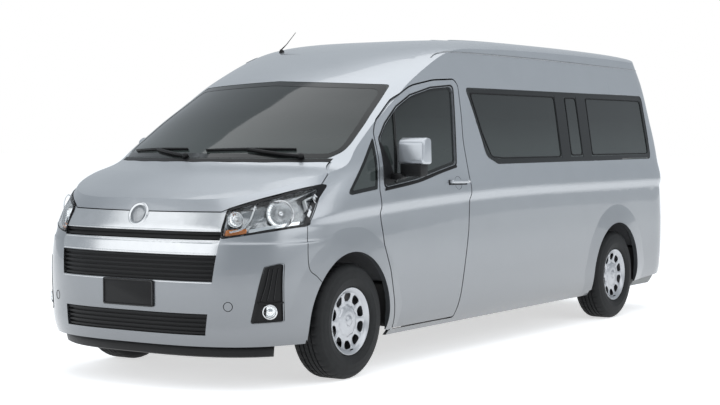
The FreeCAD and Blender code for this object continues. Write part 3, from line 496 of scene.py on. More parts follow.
# Windows: black borders, divisions and seals
SIDE_GLASS = [(1.512, 1.806, 0.03), (1.580, 1.640, 0.4), (1.696, 1.330, 0.10), (1.850, 1.277, 0.12),
              (WHEELBASE + 0.710, 1.284, 0.05), (WHEELBASE + 0.698, 1.500, 0.3), (WHEELBASE + 0.672, 1.812, 0.05)]
PANES = [[(1.565, 1.772, 0.02), (1.665, 1.50, 0.4), (1.765, 1.325, 0.10), (1.93, 1.315, 0.10), (2.862, 1.315, 0.03),
          (2.868, 1.772, 0.03)],
         [(3.040, 1.325, 0.03), (3.245, 1.325, 0.03), (3.242, 1.770, 0.03), (3.046, 1.770, 0.03)],
         [(3.415, 1.325, 0.03), (4.522, 1.325, 0.05), (4.485, 1.772, 0.05), (3.418, 1.772, 0.03)]]


def border(name, tree, view, corners, widths, radius, mat=frit, body="root", rise=0.0015):
    return band(name, tree, view, rounded(corners), rounded(inset(corners, widths, radius)), rise, mat, body)


# On the right the sliding door has a window of its own, and a black pillar parts it from the rear one.
SLIDE_GLASS = [(1.600, 1.806, 0.05), (1.600, 1.277, 0.05), (2.620, 1.279, 0.05), (2.620, 1.808, 0.05)]
REAR_GLASS = [(2.780, 1.808, 0.05), (2.780, 1.279, 0.05)] + SIDE_GLASS[4:]
PANES_RIGHT = [[(1.645, 1.765, 0.03), (1.645, 1.320, 0.03), (2.575, 1.320, 0.03), (2.575, 1.765, 0.03)],
               [(2.830, 1.325, 0.03), (3.330, 1.325, 0.03), (3.326, 1.770, 0.03), (2.830, 1.770, 0.03)], PANES[2]]
QUARTER = [(-0.076, 1.115, 0.02), (0.260, 1.147, 0.008), (0.308, 1.462, 0.008)]
DOOR_WINDOW = [(0.352, 1.156, 0.03), (0.372, 1.452, 0.06), (0.471, 1.546, 0.3), (0.630, 1.654, 0.4),
               (0.810, 1.732, 0.4), (1.060, 1.786, 0.4), (1.340, 1.808, 0.04), (1.300, 1.560, 0.3),
               (1.252, 1.286, 0.03), (1.037, 1.250, 0.4), (0.740, 1.196, 0.3)]

for sign, side in SIDES:
    tree = flank_tree[side]
    openings, panes, dividers = [SIDE_GLASS], PANES, ((2.876, 3.034), (3.250, 3.410))
    if side == "right":
        openings, panes, dividers = [SLIDE_GLASS, REAR_GLASS], PANES_RIGHT, ((3.338, 3.410), (2.623, 2.698),
                                                                            (2.702, 2.777))
    for k, opening in enumerate(openings):
        border("side_window_edge_%d_%s" % (k, side), tree, side, opening, 0.036, 0.05)
    for k, pane in enumerate(panes):
        border("pane_%d_frame_%s" % (k, side), tree, side, pane, 0.008, 0.03, rubber, rise=0.004)
    for k, (y0, y1) in enumerate(dividers):
        patch("pane_divider_%d_%s" % (k, side), tree, side,
              even([(y0, 1.306), (y1, 1.306), (y1, 1.785), (y0, 1.785)], 0.012, True), 0.0022, frit)
    patch("upper_skin_" + side, tree, side,
          even([(3.90, 1.8145), (4.34, 1.8145), (4.34, 1.92), (3.90, 1.92)], 0.02, True), 0.0006, paint)
    border("quarter_border_" + side, tree, side, QUARTER, 0.020, 0.01)
    door = "door_" + side
    band("door_window_seal_" + side, doors_tree[side], side, rounded(inset(DOOR_WINDOW, -0.013, 0.04)),
         rounded(inset(DOOR_WINDOW, -0.0025, 0.035)), 0.002, rubber, door)
    border("door_glass_border_" + side, glass_tree[side], side, inset(DOOR_WINDOW, 0.002, 0.03), 0.016, 0.03, frit,
           door)
    strip("door_window_divider_" + side, glass_tree[side], side, [(0.610, 1.642), (0.555, 1.45), (0.500, 1.18)],
          0.024, 0.010, frit, door)
    strip("door_belt_" + side, doors_tree[side], side,
          curve([(0.350, 1.140), (0.740, 1.180), (1.037, 1.234), (1.256, 1.270)]), 0.016, 0.006, rubber, door)


def both_sides(half, radius):
    whole = half + flip([p for p in reversed(half) if p[0] > 0])
    return [(p[0], p[1], radius) for p in whole]


border("screen_border", screen_tree, "front", both_sides(
    [(0, 1.338), (0.795, 1.338), (0.843, 1.38), (0.845, 1.424), (0.822, 1.552), (0.750, 1.800), (0, 1.829)], 0.05),
       0.026, 0.07)
REAR_WINDOW = [(0, 1.292), (0.696, 1.292), (0.647, 1.876), (0, 1.886)]
border("rear_window_border", tail_tree, "rear", both_sides(REAR_WINDOW, 0.06), 0.035, 0.06, body="tailgate")

# Wheels and tyres: sections as (radius, distance outwards), and half the opening of the vents in degrees by radius
RIM = [(0.001, 0.090), (0.022, 0.090), (0.029, 0.088), (0.033, 0.083), (0.050, 0.083), (0.064, 0.082), (0.076, 0.079),
       (0.088, 0.079), (0.093, 0.072), (0.105, 0.071), (0.116, 0.071), (0.122, 0.0705), (0.131, 0.071),
       (0.140, 0.072), (0.150, 0.0735), (0.160, 0.0755), (0.169, 0.078), (0.175, 0.080), (0.180, 0.088),
       (0.188, 0.092), (0.198, 0.099), (0.204, 0.101), (0.2065, 0.098), (0.2065, 0.084)]
VENTS = 10
OPEN = {0.122: 6.0, 0.131: 10.0, 0.140: 11.6, 0.150: 12.2, 0.160: 12.0, 0.169: 9.5}


def wheel_face(name, side, y, body):
    vertices = []
    for r, x in RIM:
        gap = OPEN.get(r, 7.0 if r < 0.12 else 9.0)
        for k in range(VENTS):
            for a in (-18, -(18 + gap) / 2, -gap, -gap / 2, 0, gap / 2, gap, (18 + gap) / 2):
                angle = math.radians(a + 36 * k)
                petal = 0.004 * math.cos(VENTS * angle) if r in (0.088, 0.093) else 0
                ridge = 0.003 * (abs(a) / 18) ** 2 if 0.1 < r < 0.175 else 0
                vertices.append(Vector((side * (WHEEL_X + x + ridge), y - MIDDLE + (r + petal) * math.sin(angle),
                                        HUB + (r + petal) * math.cos(angle))))
    n = VENTS * 8
    holed = {j for j in range(len(RIM) - 1) if RIM[j][0] in OPEN and RIM[j + 1][0] in OPEN}
    faces = [f for f in grid(len(RIM), n) if not (f[0] // n in holed and 2 <= f[0] % 8 <= 5)]
    faces.append(tuple(range(n)))
    o = build(name, vertices, faces, cover, body)
    shell = o.modifiers.new("thickness", "SOLIDIFY")
    shell.thickness = 0.007
    shell.offset = -1.0
    smoothing = o.modifiers.new("subdivide", "SUBSURF")
    smoothing.levels = smoothing.render_levels = 1
    return o


TREAD = [(0.210, 0.098), (0.216, 0.104), (0.224, 0.109), (0.240, 0.1125), (0.256, 0.1148), (0.259, 0.1158),
         (0.263, 0.1150), (0.285, 0.1148), (0.303, 0.1115), (0.318, 0.1060), (0.321, 0.1062), (0.332, 0.0990),
         (0.342, 0.0900), (0.3485, 0.0800), (0.3515, 0.0680), (0.352, 0.0520), (0.3445, 0.0505), (0.3445, 0.0435),
         (0.352, 0.0420), (0.352, 0.0215), (0.3445, 0.0200), (0.3445, 0.0135), (0.352, 0.0120)]
TREAD = TREAD + [(r, -x) for r, x in reversed(TREAD)]


def tyre(name, side, y, body):
    count = 240
    vertices = []
    for i in range(count):
        angle = 2 * math.pi * i / count
        for r, x in TREAD:
            cut = 0.0
            if r > 0.350 and abs(x) > 0.04 and i % 6 == 0:
                cut = 0.005
            elif r > 0.350 and abs(x) < 0.04 and (i + (3 if x > 0 else 0)) % 6 == 0:
                cut = 0.003
            elif 0.332 < r < 0.350 and abs(x) > 0.079 and i % 6 == 0:
                cut = 0.003
            vertices.append(Vector((side * WHEEL_X + x, y - MIDDLE + (r - cut) * math.sin(angle),
                                    HUB + (r - cut) * math.cos(angle))))
    return build(name, vertices, grid(count, len(TREAD), True), tyre_mat, body, 40)


for sign, side in SIDES:
    for end, y in (("front", 0.0), ("rear", WHEELBASE)):
        corner = "%s_%s" % (end, side)
        node = "wheel_" + corner
        hub = Vector((sign * WHEEL_X, y - MIDDLE, HUB))
        out_way = Vector((sign, 0, 0))
        face = wheel_face("cover_" + corner, sign, y, node)
        barrel = turned("rim_" + corner,
                        [(0.2065, 0.088), (0.198, 0.072), (0.184, 0.045), (0.182, -0.080), (0.198, -0.100),
                         (0.206, -0.112), (0.2085, -0.100), (0.190, -0.075), (0.190, 0.045), (0.2065, 0.088)],
                        hub, out_way, steel, node, segments=72)
        turned("brake_" + corner,
               [(0.0, 0.048), (0.06, 0.048), (0.065, 0.034), (0.128, 0.030), (0.134, 0.020), (0.134, -0.02),
                (0.03, -0.03), (0.0, -0.03)], hub, out_way, steel, node, segments=64)
        rod("valve_" + corner, [hub + Vector((sign * x, 0.02, z)) for x, z in ((0.080, -0.178), (0.100, -0.172))],
            0.004, rubber, node)
        cap = turned("hub_cap_" + corner, [(0.0, 0.0945), (0.016, 0.094), (0.026, 0.092), (0.031, 0.087),
                                           (0.032, 0.080), (0.0, 0.078)], hub, out_way, cover, node)
        for o in (face, barrel, cap):
            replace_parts(o, node)
        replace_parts(tyre("tyre_tread_" + corner, sign, y, node), "tyre_" + corner)


# Headlamps behind their clear covers
lens_tree = tree_of("lamp_lenses")
LAMP = [(0.592, 1.050, 0.02), (0.736, 1.099, 0.2), (0.831, 1.140, 0.2), (0.918, 1.192, 0.02), (0.934, 0.953, 0.02),
        (0.843, 0.930, 0.2), (0.731, 0.908, 0.2), (0.598, 0.886, 0.02)]


def housing(name, outline, depth, mat):
    n = len(outline)
    found = smooth_normals(land(lens_tree, "front", outline), True, 3)
    rings = [[p - nrm * 0.0125 for p, nrm in found]]
    for k in range(5):
        spots = shrunk(outline, 1 - 0.04 - k * 0.24)
        rings.append([p - nrm * (depth * (0.8 + 0.05 * k)) for p, nrm in
                      smooth_normals(land(lens_tree, "front", spots), True, 3)])
    faces = grid(len(rings), n)
    faces.append(tuple(range((len(rings) - 1) * n, len(rings) * n)))
    return build(name, [v for ring in rings for v in ring], faces, mat)


for sign, side in SIDES:
    way = flip if sign < 0 else list
    shell = housing("lamp_housing_" + side, rounded(inset(way(LAMP), 0.003, 0.015)), 0.085, smoke)
    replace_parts(shell, "headlamps")
    band("lamp_rim_" + side, skin_tree, "front", rounded(inset(way(LAMP), -0.004, 0.02)),
         rounded(inset(way(LAMP), [0.013, 0.013, 0.013, 0.008, 0.005, 0.005, 0.005, 0.007], 0.02)), 0.0018,
         gloss_black, sink=0.006)

    def inside_lamp(a, b, depth):
        p, nrm = at(lens_tree, "front", sign * a, b)
        return p - nrm * depth

    out_way = Vector((sign * 0.42, -0.9, 0.02))
    spot = inside_lamp(0.845, 1.030, 0.022)
    turned("lamp_reflector_" + side,
           [(0.078, 0.002), (0.072, 0.0), (0.058, -0.020), (0.040, -0.036), (0.018, -0.046), (0.014, -0.050)],
           spot, out_way, bowl, segments=96, ribs=32, rib=0.02, hollow=True)
    turned("lamp_ring_" + side, [(0.074, 0.002), (0.078, 0.006), (0.082, 0.002), (0.078, -0.004), (0.074, 0.002)],
           spot, out_way, chrome, segments=64)
    turned("lamp_bulb_" + side,
           [(0.0, -0.010), (0.007, -0.011), (0.011, -0.016), (0.012, -0.030), (0.012, -0.052), (0.0, -0.054)],
           spot, out_way, bulb, segments=24)
    turned("lamp_shade_" + side, [(0.0, 0.000), (0.013, -0.002), (0.017, -0.010), (0.015, -0.014), (0.0, -0.012)],
           spot, out_way, chrome, segments=32)
    spot = inside_lamp(0.650, 1.000, 0.020)
    out_way = Vector((sign * 0.40, -0.9, 0.05))
    turned("turn_reflector_" + side, [(0.047, 0.0), (0.036, -0.014), (0.022, -0.024), (0.010, -0.028)], spot, out_way,
           bowl, segments=14, smooth=False, hollow=True)
    turned("turn_bulb_" + side, [(0.0, -0.004), (0.007, -0.006), (0.010, -0.014), (0.009, -0.028), (0.0, -0.030)],
           spot, out_way, bulb, segments=20)
    strip("lamp_divider_" + side, lens_tree, "front",
          way(curve([(0.725, 1.080), (0.727, 1.00), (0.700, 0.945), (0.64, 0.925)])), 0.006, -0.014, chrome,
          sink=0.050)
    patch("lamp_amber_" + side, lens_tree, "front",
          rounded(way([(0.614, 0.903, 0.01), (0.730, 0.922, 0.01), (0.722, 0.948, 0.01), (0.616, 0.940, 0.01)])),
          -0.022, amber, sink=0.045)
    cell = [(-0.425, 0.985, 0.01), (-0.352, 1.020, 0.01), (-0.302, 1.140, 0.01), (-0.420, 1.105, 0.01)]
    band("lamp_cell_" + side, lens_tree, side, rounded(cell), rounded(inset(cell, 0.009, 0.008)), -0.014, bulb,
         sink=0.040)
    for k in range(5):
        z = 1.012 + 0.022 * k
        strip("lamp_slat_%d_%s" % (k, side), lens_tree, side, [(-0.418, z), (-0.352 + 0.011 * k, z + 0.010)], 0.007,
              -0.018, smoke, sink=0.040)
    patch("lamp_step_" + side, lens_tree, "front",
          rounded(way([(0.735, 0.926, 0.01), (0.925, 0.965, 0.01), (0.925, 0.985, 0.01), (0.735, 0.946, 0.01)])),
          -0.030, bowl, sink=0.060)

# Front: grille edges, emblem place, plate, fog lamps, valance
EMBLEM = Vector((0, -0.850 - MIDDLE, 1.012))
EMBLEM_WAY = Vector((0, -1, 0.42))
turned("emblem_base", [(0.0, 0.009), (0.056, 0.008), (0.062, 0.011), (0.070, 0.011), (0.074, 0.006), (0.075, -0.012),
                       (0.0, -0.012)], EMBLEM, EMBLEM_WAY, chrome, segments=72)
turned("emblem_face", [(0.0, 0.013), (0.030, 0.0125), (0.050, 0.0105), (0.055, 0.008), (0.0, 0.006)], EMBLEM,
       EMBLEM_WAY, smoke, segments=72)
slab("plate_blank", rectangle(0.190, 0.484, 0.636, 0.014), lambda a, b, d: Vector((a, -0.9515 - MIDDLE + d, b)),
     0.010, black, bevel=0.002)
frame_out = rectangle(0.193, 0.481, 0.639, 0.014)
frame_in = rectangle(0.183, 0.491, 0.629, 0.012)
rings = [(frame_out, -0.950), (frame_out, -0.954), (frame_in, -0.954), (frame_in, -0.950)]
build("plate_frame", [Vector((a, y - MIDDLE, b)) for ring, y in rings for a, b in ring],
      grid(4, len(frame_out), True), gloss_black)
grille_tree = tree_of("grille_trim", "bumper_front", "bonnet")
for k, (z, x, width) in enumerate(((0.870, 0.590, 0.006), (0.930, 0.585, 0.008), (0.800, 0.590, 0.006),
                                   (0.634, 0.572, 0.006))):
    strip("grille_edge_%d" % k, grille_tree, "front", curve([(-x, z), (-x / 2, z), (0, z), (x / 2, z), (x, z)], 12),
          width, 0.003, chrome)
fog_tree = tree_of("fog_lamps")
fog_and_bumper = tree_of("fog_lamps", "bumper_front")
for sign, side in SIDES:
    way = flip if sign < 0 else list
    bezel = [(0.772, 0.408, 0.012), (0.830, 0.722, 0.012), (0.890, 0.742, 0.012), (0.885, 0.413, 0.012)]
    band("fog_edge_" + side, fog_and_bumper, "front", rounded(inset(way(bezel), -0.006, 0.014)),
         rounded(inset(way(bezel), 0.007, 0.012)), 0.003, black, sink=0.010)
    for k in range(3):
        strip("fog_rib_%d_%s" % (k, side), fog_tree, "front",
              way(curve([(0.838 + 0.016 * k, 0.715), (0.826 + 0.018 * k, 0.62), (0.806 + 0.024 * k, 0.530)])), 0.007,
              0.008 - 0.002 * k, gloss_black, sink=0.012)
    strip("fog_shelf_" + side, fog_tree, "front", way(curve([(0.796, 0.520), (0.84, 0.512), (0.883, 0.520)])), 0.010,
          0.012, black, sink=0.012)
    p, nrm = at(fog_tree, "front", sign * 0.838, 0.468)
    aim = (Vector((sign * 0.25, -0.97, 0)) + nrm * 0.8).normalized()
    p = p + nrm * 0.005
    turned("fog_ring_" + side, [(0.034, 0.0), (0.035, 0.012), (0.040, 0.014), (0.044, 0.010), (0.045, -0.016),
                                (0.034, -0.016), (0.034, 0.0)], p, aim, chrome, segments=48)
    turned("fog_bowl_" + side, [(0.036, 0.006), (0.028, 0.001), (0.014, 0.0006), (0.012, 0.004), (0.0, 0.006)],
           p, aim, bowl, segments=48, ribs=16, rib=0.02, hollow=True)
    turned("fog_lens_" + side, [(0.0, 0.015), (0.020, 0.0145), (0.035, 0.011), (0.036, 0.009), (0.0, 0.011)], p, aim,
           clear, segments=48)
    p, nrm = at(front_tree, "front", sign * 0.66, 0.50)
    turned("tow_seam_" + side, [(0.024, 0.0008), (0.026, 0.0012), (0.028, 0.0008), (0.026, -0.002), (0.024, 0.0008)],
           p, nrm, rubber, segments=40)

found = land(tree_of("bumper_front"), "front", [(x / 20 * 0.84, 0.290) for x in range(-20, 21)])
vertices = []
for p, nrm in found:
    back_y = p.y + 0.045
    vertices += [Vector((p.x * 0.96, back_y, 0.275)), Vector((p.x * 0.95, back_y + 0.012, 0.205)),
                 Vector((p.x * 0.945, back_y + 0.030, 0.196)), Vector((p.x * 0.945, back_y + 0.040, 0.275))]
faces = grid(len(found), 4) + [(0, 1, 2, 3), tuple(len(found) * 4 - 4 + k for k in range(4))]
build("front_valance", vertices, faces, black)

# Wipers, handles, mirrors, roof lines, antenna
for k, (pivot, tip, heel) in enumerate((((0.66, 1.340), (0.60, 1.385), (0.02, 1.378)),
                                        ((-0.10, 1.340), (-0.14, 1.385), (-0.72, 1.372)))):
    mid = tuple((a + b) / 2 for a, b in zip(tip, heel))
    strip("wiper_blade_%d" % k, screen_tree, "front", curve([tip, (mid[0], mid[1] + 0.004), heel], 12), 0.012, 0.016,
          black, taper=0.5)
    strip("wiper_arm_%d" % k, screen_tree, "front", curve([pivot, (pivot[0] - 0.12, 1.352), mid], 10), 0.016, 0.022,
          black)
    p, nrm = at(screen_tree, "front", *pivot)
    turned("wiper_pivot_%d" % k, [(0.0, 0.030), (0.012, 0.028), (0.018, 0.020), (0.020, -0.004), (0.0, -0.004)],
           p, nrm, black, segments=32)

for sign, side in SIDES:
    tree = flank_tree[side]
    strip("bumper_seam_" + side, tree, side,
          curve([(-0.447, 0.946), (-0.466, 0.814), (-0.456, 0.700), (-0.400, 0.655), (-0.345, 0.605)], 8), 0.005,
          0.0006, rubber, sink=0.003)
    strip("lamp_seam_" + side, tree, side,
          curve([(-0.258, 1.206), (-0.277, 1.172), (-0.36, 1.062), (-0.447, 0.950)], 8), 0.006, 0.0008, rubber,
          sink=0.003)
    tree = doors_tree[side]
    door = "door_" + side
    # Painted shade: a thin dark ring on the door round the handle shows the shadow of a recess that the panel doesn't
    # have.
    shade_ring_out, shade_ring_in = [[(1.253 + 0.047 * share * math.cos(math.pi * k / 20),
                       1.160 + 0.045 * share * math.sin(math.pi * k / 20)) for k in range(40)] for share in (1, 0.93)]
    band("handle_dish_shade_" + side, tree, side, shade_ring_out, shade_ring_in, 0.0009, smoke, door, 0.002)
    strip("handle_base_" + side, tree, side, [(1.130, 1.165), (1.366, 1.162)], 0.034, 0.003, rubber, door)
    strip("handle_" + side, tree, side, curve([(1.133, 1.167), (1.25, 1.166), (1.367, 1.163)], 12), 0.026, 0.036,
          paint, door, taper=0.3)
    p, nrm = at(tree, side, 1.340, 1.163)
    turned("lock_" + side, [(0.0, 0.039), (0.007, 0.039), (0.009, 0.034), (0.0, 0.034)], p, nrm, chrome, door,
           segments=24)
    head = slab("mirror_shell_" + side,
                rounded([(0.462, 1.296, 0.030), (0.466, 1.440, 0.045), (0.512, 1.464, 0.045), (0.566, 1.458, 0.030),
                         (0.574, 1.296, 0.020)], 8, 2), sideways(sign, 0.975), 0.192, paint, door, bevel=0.026)
    head.modifiers["bevel"].segments = 5
    foot = slab("mirror_foot_" + side,
                rounded([(0.474, 1.215, 0.020), (0.470, 1.300, 0.010), (0.568, 1.300, 0.010), (0.562, 1.222, 0.020)],
                        6, 2), sideways(sign, 0.991), 0.150, black, door, bevel=0.016)
    foot.modifiers["bevel"].segments = 4
    arm = slab("mirror_arm_" + side,
               rounded([(0.430, 1.200, 0.012), (0.440, 1.236, 0.012), (0.512, 1.240, 0.012), (0.510, 1.204, 0.012)],
                       6, 2), sideways(sign, 0.941), 0.080, black, door, bevel=0.008)
    sail = patch("mirror_sail_" + side, glass_tree[side], side,
                 rounded([(0.362, 1.170, 0.01), (0.376, 1.430, 0.01), (0.392, 1.430, 0.01), (0.500, 1.190, 0.01)]),
                 0.0060, black, door)
    slab("mirror_glass_" + side,
         rounded([(1.000, 1.315, 0.02), (1.148, 1.315, 0.02), (1.146, 1.440, 0.03), (1.002, 1.440, 0.03)], 8, 2),
         (lambda s: lambda a, b, d: Vector((s * a, 0.5725 - MIDDLE + d, b)))(sign), 0.004, mirror, door, bevel=0.001)
    for o in (head, foot, arm, sail):
        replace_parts(o, "mirror_" + side)
    # Painted shadow: a dark strip along the roof side draws the shadow line under the drip ledge.
    strip("drip_shadow_" + side, flank_tree[side], side,
          curve([(1.204, 2.000), (1.321, 2.036), (1.548, 2.048), (2.670, 2.050), (3.822, 2.040), (4.319, 2.036),
                 (4.56, 2.028)], 14), 0.010, 0.005, smoke, taper=0.6)
    for k, x in enumerate((0.30, 0.45)):
        strip("roof_rib_%d_%s" % (k, side), top_tree, "top",
              [(sign * x, y / 10) for y in range(20, 45)], 0.040, 0.004, paint, taper=0.8, sink=0.003)

slide = tree_of("sliding_door")
strip("slide_handle_base", slide, "right", [(1.600, 1.120), (1.850, 1.120)], 0.046, 0.004, black, taper=0.3)
strip("slide_handle", slide, "right", [(1.610, 1.121), (1.840, 1.121)], 0.028, 0.036, paint, taper=0.3)
strip("slide_seam", flank_tree["right"], "right",
      even([(1.520, 0.285), (1.520, 1.870), (1.550, 1.900), (2.670, 1.900), (2.700, 1.870), (2.700, 0.285)], 0.03),
      0.006, 0.0006, rubber, sink=0.003)
strip("slide_rail", flank_tree["right"], "right", [(2.74, 1.115), (4.30, 1.115)], 0.020, 0.003, rubber, sink=0.003)

for sign, side in SIDES:
    for end, y in (("front", 0.0), ("rear", WHEELBASE)):
        for k, (low, high) in enumerate(((-10, 28), (152, 190))):
            vertices = []
            for i in range(13):
                angle = math.radians(low + (high - low) * i / 12)
                for x, more in ((0.495, 0), (0.905, 0), (0.925, -0.006), (0.925, 0), (0.905, 0.007), (0.495, 0.007)):
                    r = ARCH + more
                    vertices.append(Vector((sign * x, y - MIDDLE + r * math.cos(angle), HUB + r * math.sin(angle))))
            faces = grid(13, 6) + [tuple(range(6)), tuple(range(72, 78))]
            build("arch_liner_%s_%d_%s" % (end, k, side), vertices, faces, black)
    slab("arch_wall_" + side, [(-0.440, 0.300), (0.440, 0.300), (0.440, 0.556), (-0.440, 0.556)],
         sideways(sign, 0.490, -1), 0.004, black, bevel=0.001)

# Closes the view under the load floor when the tailgate is up
floor_end = max(v.co.y for v in nodes["floor_pan"].data.vertices)
slab("rear_floor_beam", [(-0.745, 0.330), (0.745, 0.330), (0.745, 0.588), (-0.745, 0.588)],
     lambda a, b, d: Vector((a, floor_end - 0.030 + d, b)), 0.024, chassis, bevel=0.002)

p, nrm = at(top_tree, "top", -0.50, 1.26)
turned("antenna_base", [(0.0, 0.024), (0.008, 0.022), (0.016, 0.010), (0.020, 0.0), (0.020, -0.004), (0.0, -0.004)],
       p, nrm, black, segments=32)
rod("antenna", [p + nrm * 0.018, p + Vector((0, 0.06, 0.060)), p + Vector((0, 0.17, 0.150))], [0.005, 0.003, 0.0022],
    black)

# Tail: lamp details, handle, wiper, high stop lamp, bumper step
lamps = tree_of("tail_lamps")
for sign, side in SIDES:
    way = flip if sign < 0 else list
    for k, z in enumerate((0.93, 1.14)):
        strip("tail_bar_%d_%s" % (k, side), lamps, "rear", way([(0.830, z), (0.905, z + 0.008)]), 0.008, 0.002,
              chrome)
    patch("reverse_lens_" + side, lamps, "rear",
          rounded(way([(0.832, 0.775, 0.01), (0.885, 0.775, 0.01), (0.890, 0.905, 0.01), (0.832, 0.905, 0.01)])),
          0.0015, bulb)
    patch("turn_lens_" + side, lamps, "rear",
          rounded(way([(0.828, 1.165, 0.01), (0.880, 1.170, 0.01), (0.868, 1.335, 0.01), (0.822, 1.335, 0.01)])),
          0.0015, amber)
    for k in range(6):
        z = 0.965 + 0.027 * k
        strip("tail_line_%d_%s" % (k, side), lamps, "rear", way([(0.833, z), (0.893, z)]), 0.004, 0.0012, red)
strip("tail_handle", tail_tree, "rear", curve([(-0.30, 1.115), (0, 1.120), (0.30, 1.115)], 12), 0.058, 0.022, chrome,
      "tailgate", taper=0.5)
strip("tail_grip", tail_tree, "rear", [(-0.16, 1.075), (0.16, 1.075)], 0.030, 0.010, black, "tailgate", taper=0.4)
strip("stop_lamp", tail_tree, "rear", [(-0.16, 1.945), (0.16, 1.945)], 0.026, 0.010, red, "tailgate", taper=0.3)
strip("rear_wiper", tail_tree, "rear", curve([(0.02, 1.335), (-0.25, 1.350), (-0.50, 1.345)], 10), 0.012, 0.018,
      black, "tailgate", taper=0.5)
strip("rear_wiper_arm", tail_tree, "rear", curve([(0.0, 1.262), (-0.10, 1.310), (-0.26, 1.350)], 10), 0.014, 0.024,
      black, "tailgate")
strip("rear_step", tree_of("bumper_rear"), "rear", [(-0.80, 0.462), (0.80, 0.462)], 0.016, 0.006, black)


# Seats
def pad(name, low, high, mat, lean=0.0, channels=()):
    # A crowned cushion: a subdivided box whose faces swell and whose sides draw in between the corners.
    work = bmesh.new()
    bmesh.ops.create_cube(work, size=2.0)
    bmesh.ops.subdivide_edges(work, edges=work.edges, cuts=9, use_grid_fill=True)
    centre = (Vector(low) + Vector(high)) / 2
    half = (Vector(high) - Vector(low)) / 2
    for v in work.verts:
        p = v.co.copy()
        a, b, c = (abs(t) for t in p)
        size = (a ** 7 + b ** 7 + c ** 7) ** (1 / 7)
        p = p / size
        free = [1 - 0.035 * (1 - min(1, abs(p[j]) * abs(p[k])))
                for j, k in ((1, 2), (0, 2), (0, 1))]
        p = Vector([t * f for t, f in zip(p, free)])
        for x in channels:
            near = math.exp(-((p.x * half.x - x) / 0.012) ** 2)
            p.y *= 1 - near * min(0.9, 0.007 / half.y)
            p.z *= 1 - near * min(0.9, 0.007 / half.z)
        v.co = centre + Vector([t * s for t, s in zip(p, half)])
        v.co.y += lean * (v.co.z - low[2])
    mesh = bpy.data.meshes.new(name)
    work.to_mesh(mesh)
    work.free()
    o = piece(name, mesh, mat, subdivide=1)
    return o


def seat(name, x, y, width, node):
    base = FLOOR_Z
    w = width / 2 - 0.006
    channels = (-w * 0.55, w * 0.55)
    if width > 0.7:
        channels = (-w * 0.80, -w * 0.25, 0, w * 0.25, w * 0.80)
    row_y = y - MIDDLE
    parts = [pad(name + "_cushion", (x - w, row_y + 0.012, base + 0.300), (x + w, row_y + 0.450, base + 0.412),
                 fabric, channels=channels),
             pad(name + "_back", (x - w, row_y + 0.418, base + 0.330), (x + w, row_y + 0.510, base + 0.900), fabric,
                 lean=0.16, channels=channels)]
    heads = [x] if width < 0.7 else ([x - width / 4, x + width / 4] if width < 1.2 else
                                     [x - 0.56, x - 0.19, x + 0.19, x + 0.56])
    for k, hx in enumerate(heads):
        parts.append(pad(name + "_head_%d" % k, (hx - 0.125, row_y + 0.520, base + 0.905),
                         (hx + 0.125, row_y + 0.605, base + 1.046), fabric, lean=0.1))
        for s in (-0.05, 0.05):
            rod(name + "_post_%d_%s" % (k, "a" if s < 0 else "b"),
                [(hx + s, row_y + 0.550, base + 0.86), (hx + s, row_y + 0.562, base + 0.93)], 0.006, chrome)
    low, high = max(x - w + 0.03, -0.47), min(x + w - 0.03, 0.47)
    for k, lx in enumerate((low, high - 0.04)):
        slab(name + "_leg_%d" % k, [(y + 0.07, base + 0.001), (y + 0.36, base + 0.001), (y + 0.33, base + 0.04),
                                    (y + 0.31, base + 0.29), (y + 0.13, base + 0.29), (y + 0.10, base + 0.04)],
             sideways(1, lx), 0.04, black, bevel=0.004)
    shell = slab(name + "_shell", [(y + 0.04, base + 0.285), (y + 0.45, base + 0.285), (y + 0.530, base + 0.36),
                                   (y + 0.612, base + 0.85), (y + 0.580, base + 0.86), (y + 0.48, base + 0.38),
                                   (y + 0.42, base + 0.315), (y + 0.04, base + 0.308)],
                 sideways(1, x - w + 0.012), 2 * w - 0.024, piping, bevel=0.006)
    for o in parts + [shell]:
        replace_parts(o, node)


for sign, side in SIDES:
    seat("seat_cab_" + side, sign * 0.430, 0.620, 0.520, "seats_cab")
for row in range(3):
    y = 1.750 + 0.760 * row
    seat("seat_double_%d" % row, 0.330, y, 0.860, "seats_left")
    seat("seat_single_%d" % row, -0.560, y, 0.430, "seats_right")
seat("seat_row_back", 0.0, 1.750 + 2.280, 1.500, "seat_bench")

# Dashboard details, all on the board
hood = tree_of("dashboard")
strip("dash_line", hood, "rear", curve([(-0.80, 1.10), (0, 1.10), (0.80, 1.10)], 16), 0.010, 0.003, chrome)
for k, x in enumerate((-0.78, -0.10, 0.10, 0.78)):
    p, nrm = at(hood, "rear", x, 1.165)
    turned("dash_vent_%d" % k, [(0.0, 0.004), (0.030, 0.004), (0.034, 0.010), (0.042, 0.010), (0.044, -0.004),
                                (0.0, -0.004)], p, nrm, gloss_black, segments=32)
p, nrm = at(hood, "rear", 0.0, 1.04)
slab("dash_screen", rectangle(0.12, -0.055, 0.055, 0.01), lambda a, b, d: p + Vector((a, 0.010 - d, b)), 0.030,
     gloss_black, bevel=0.002)

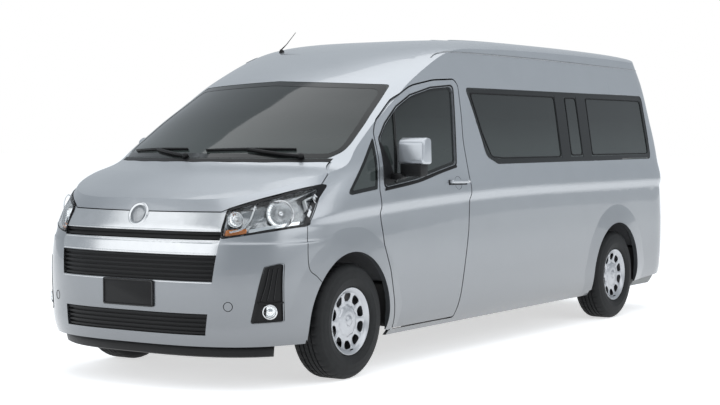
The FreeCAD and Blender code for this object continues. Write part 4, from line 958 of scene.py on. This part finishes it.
# Floor, world and lamps. The floor glows for the rays that show it, so it stays pale without lighting the body.
bpy.ops.mesh.primitive_plane_add(size=200, location=(0, 0, 0))
ground = bpy.context.object
ground.name = "floor"
pale = material("floor_pale", (0.80, 0.81, 0.82), 0.9, vary=0.01)
tree = pale.node_tree
link = tree.links.new
rays = add(tree, "LightPath").outputs
seen = rays["Is Camera Ray"]
for kind in ("Glossy", "Transmission"):
    total = add(tree, "Math")
    total.operation = "ADD"
    total.use_clamp = True
    link(seen, total.inputs[0])
    link(rays["Is %s Ray" % kind], total.inputs[1])
    seen = total.outputs[0]
pick = add(tree, "MixShader")
link(seen, pick.inputs["Fac"])
link(add(tree, "Emission", Strength=0.0).outputs[0], pick.inputs[1])
link(add(tree, "Emission", Strength=0.62).outputs[0], pick.inputs[2])
both = add(tree, "AddShader")
link(tree.nodes["Principled BSDF"].outputs[0], both.inputs[0])
link(pick.outputs[0], both.inputs[1])
link(both.outputs[0], output_of(tree, "OutputMaterial").inputs["Surface"])
ground.data.materials.append(pale)

world = bpy.data.worlds.new("world")
bpy.context.scene.world = world
world.use_nodes = True
tree = world.node_tree
link = tree.links.new
back = tree.nodes["Background"]
back.inputs[0].default_value = (0.86, 0.93, 1.0, 1)
back.inputs[1].default_value = 0.58
pick = add(tree, "MixShader")
link(add(tree, "LightPath").outputs["Is Camera Ray"], pick.inputs["Fac"])
link(back.outputs[0], pick.inputs[1])
link(add(tree, "Background", Color=(1, 1, 1, 1), Strength=1.0).outputs[0], pick.inputs[2])
link(pick.outputs[0], output_of(tree, "OutputWorld").inputs[0])


def lamp(name, place, target, size, power, color=(1, 1, 1)):
    data = bpy.data.lights.new(name, "AREA")
    data.shape = "RECTANGLE"
    data.size, data.size_y = size
    data.energy = power
    data.color = color
    o = bpy.data.objects.new(name, data)
    o.location = place
    o.rotation_mode = "QUATERNION"
    o.rotation_quaternion = (Vector(target) - Vector(place)).to_track_quat("-Z", "Y")
    bpy.context.scene.collection.objects.link(o)


lamp("overhead", (1.0, -1.0, 7.0), (0, 0, 0.5), (10, 13), 400)
lamp("front_fill", (-3.0, -9.0, 4.0), (0, -1, 1.0), (8, 6), 155)
lamp("side_fill", (8.0, 0.0, 3.5), (0, 0, 1.0), (9, 3), 110)

bpy.context.scene.view_settings.view_transform = "Standard"
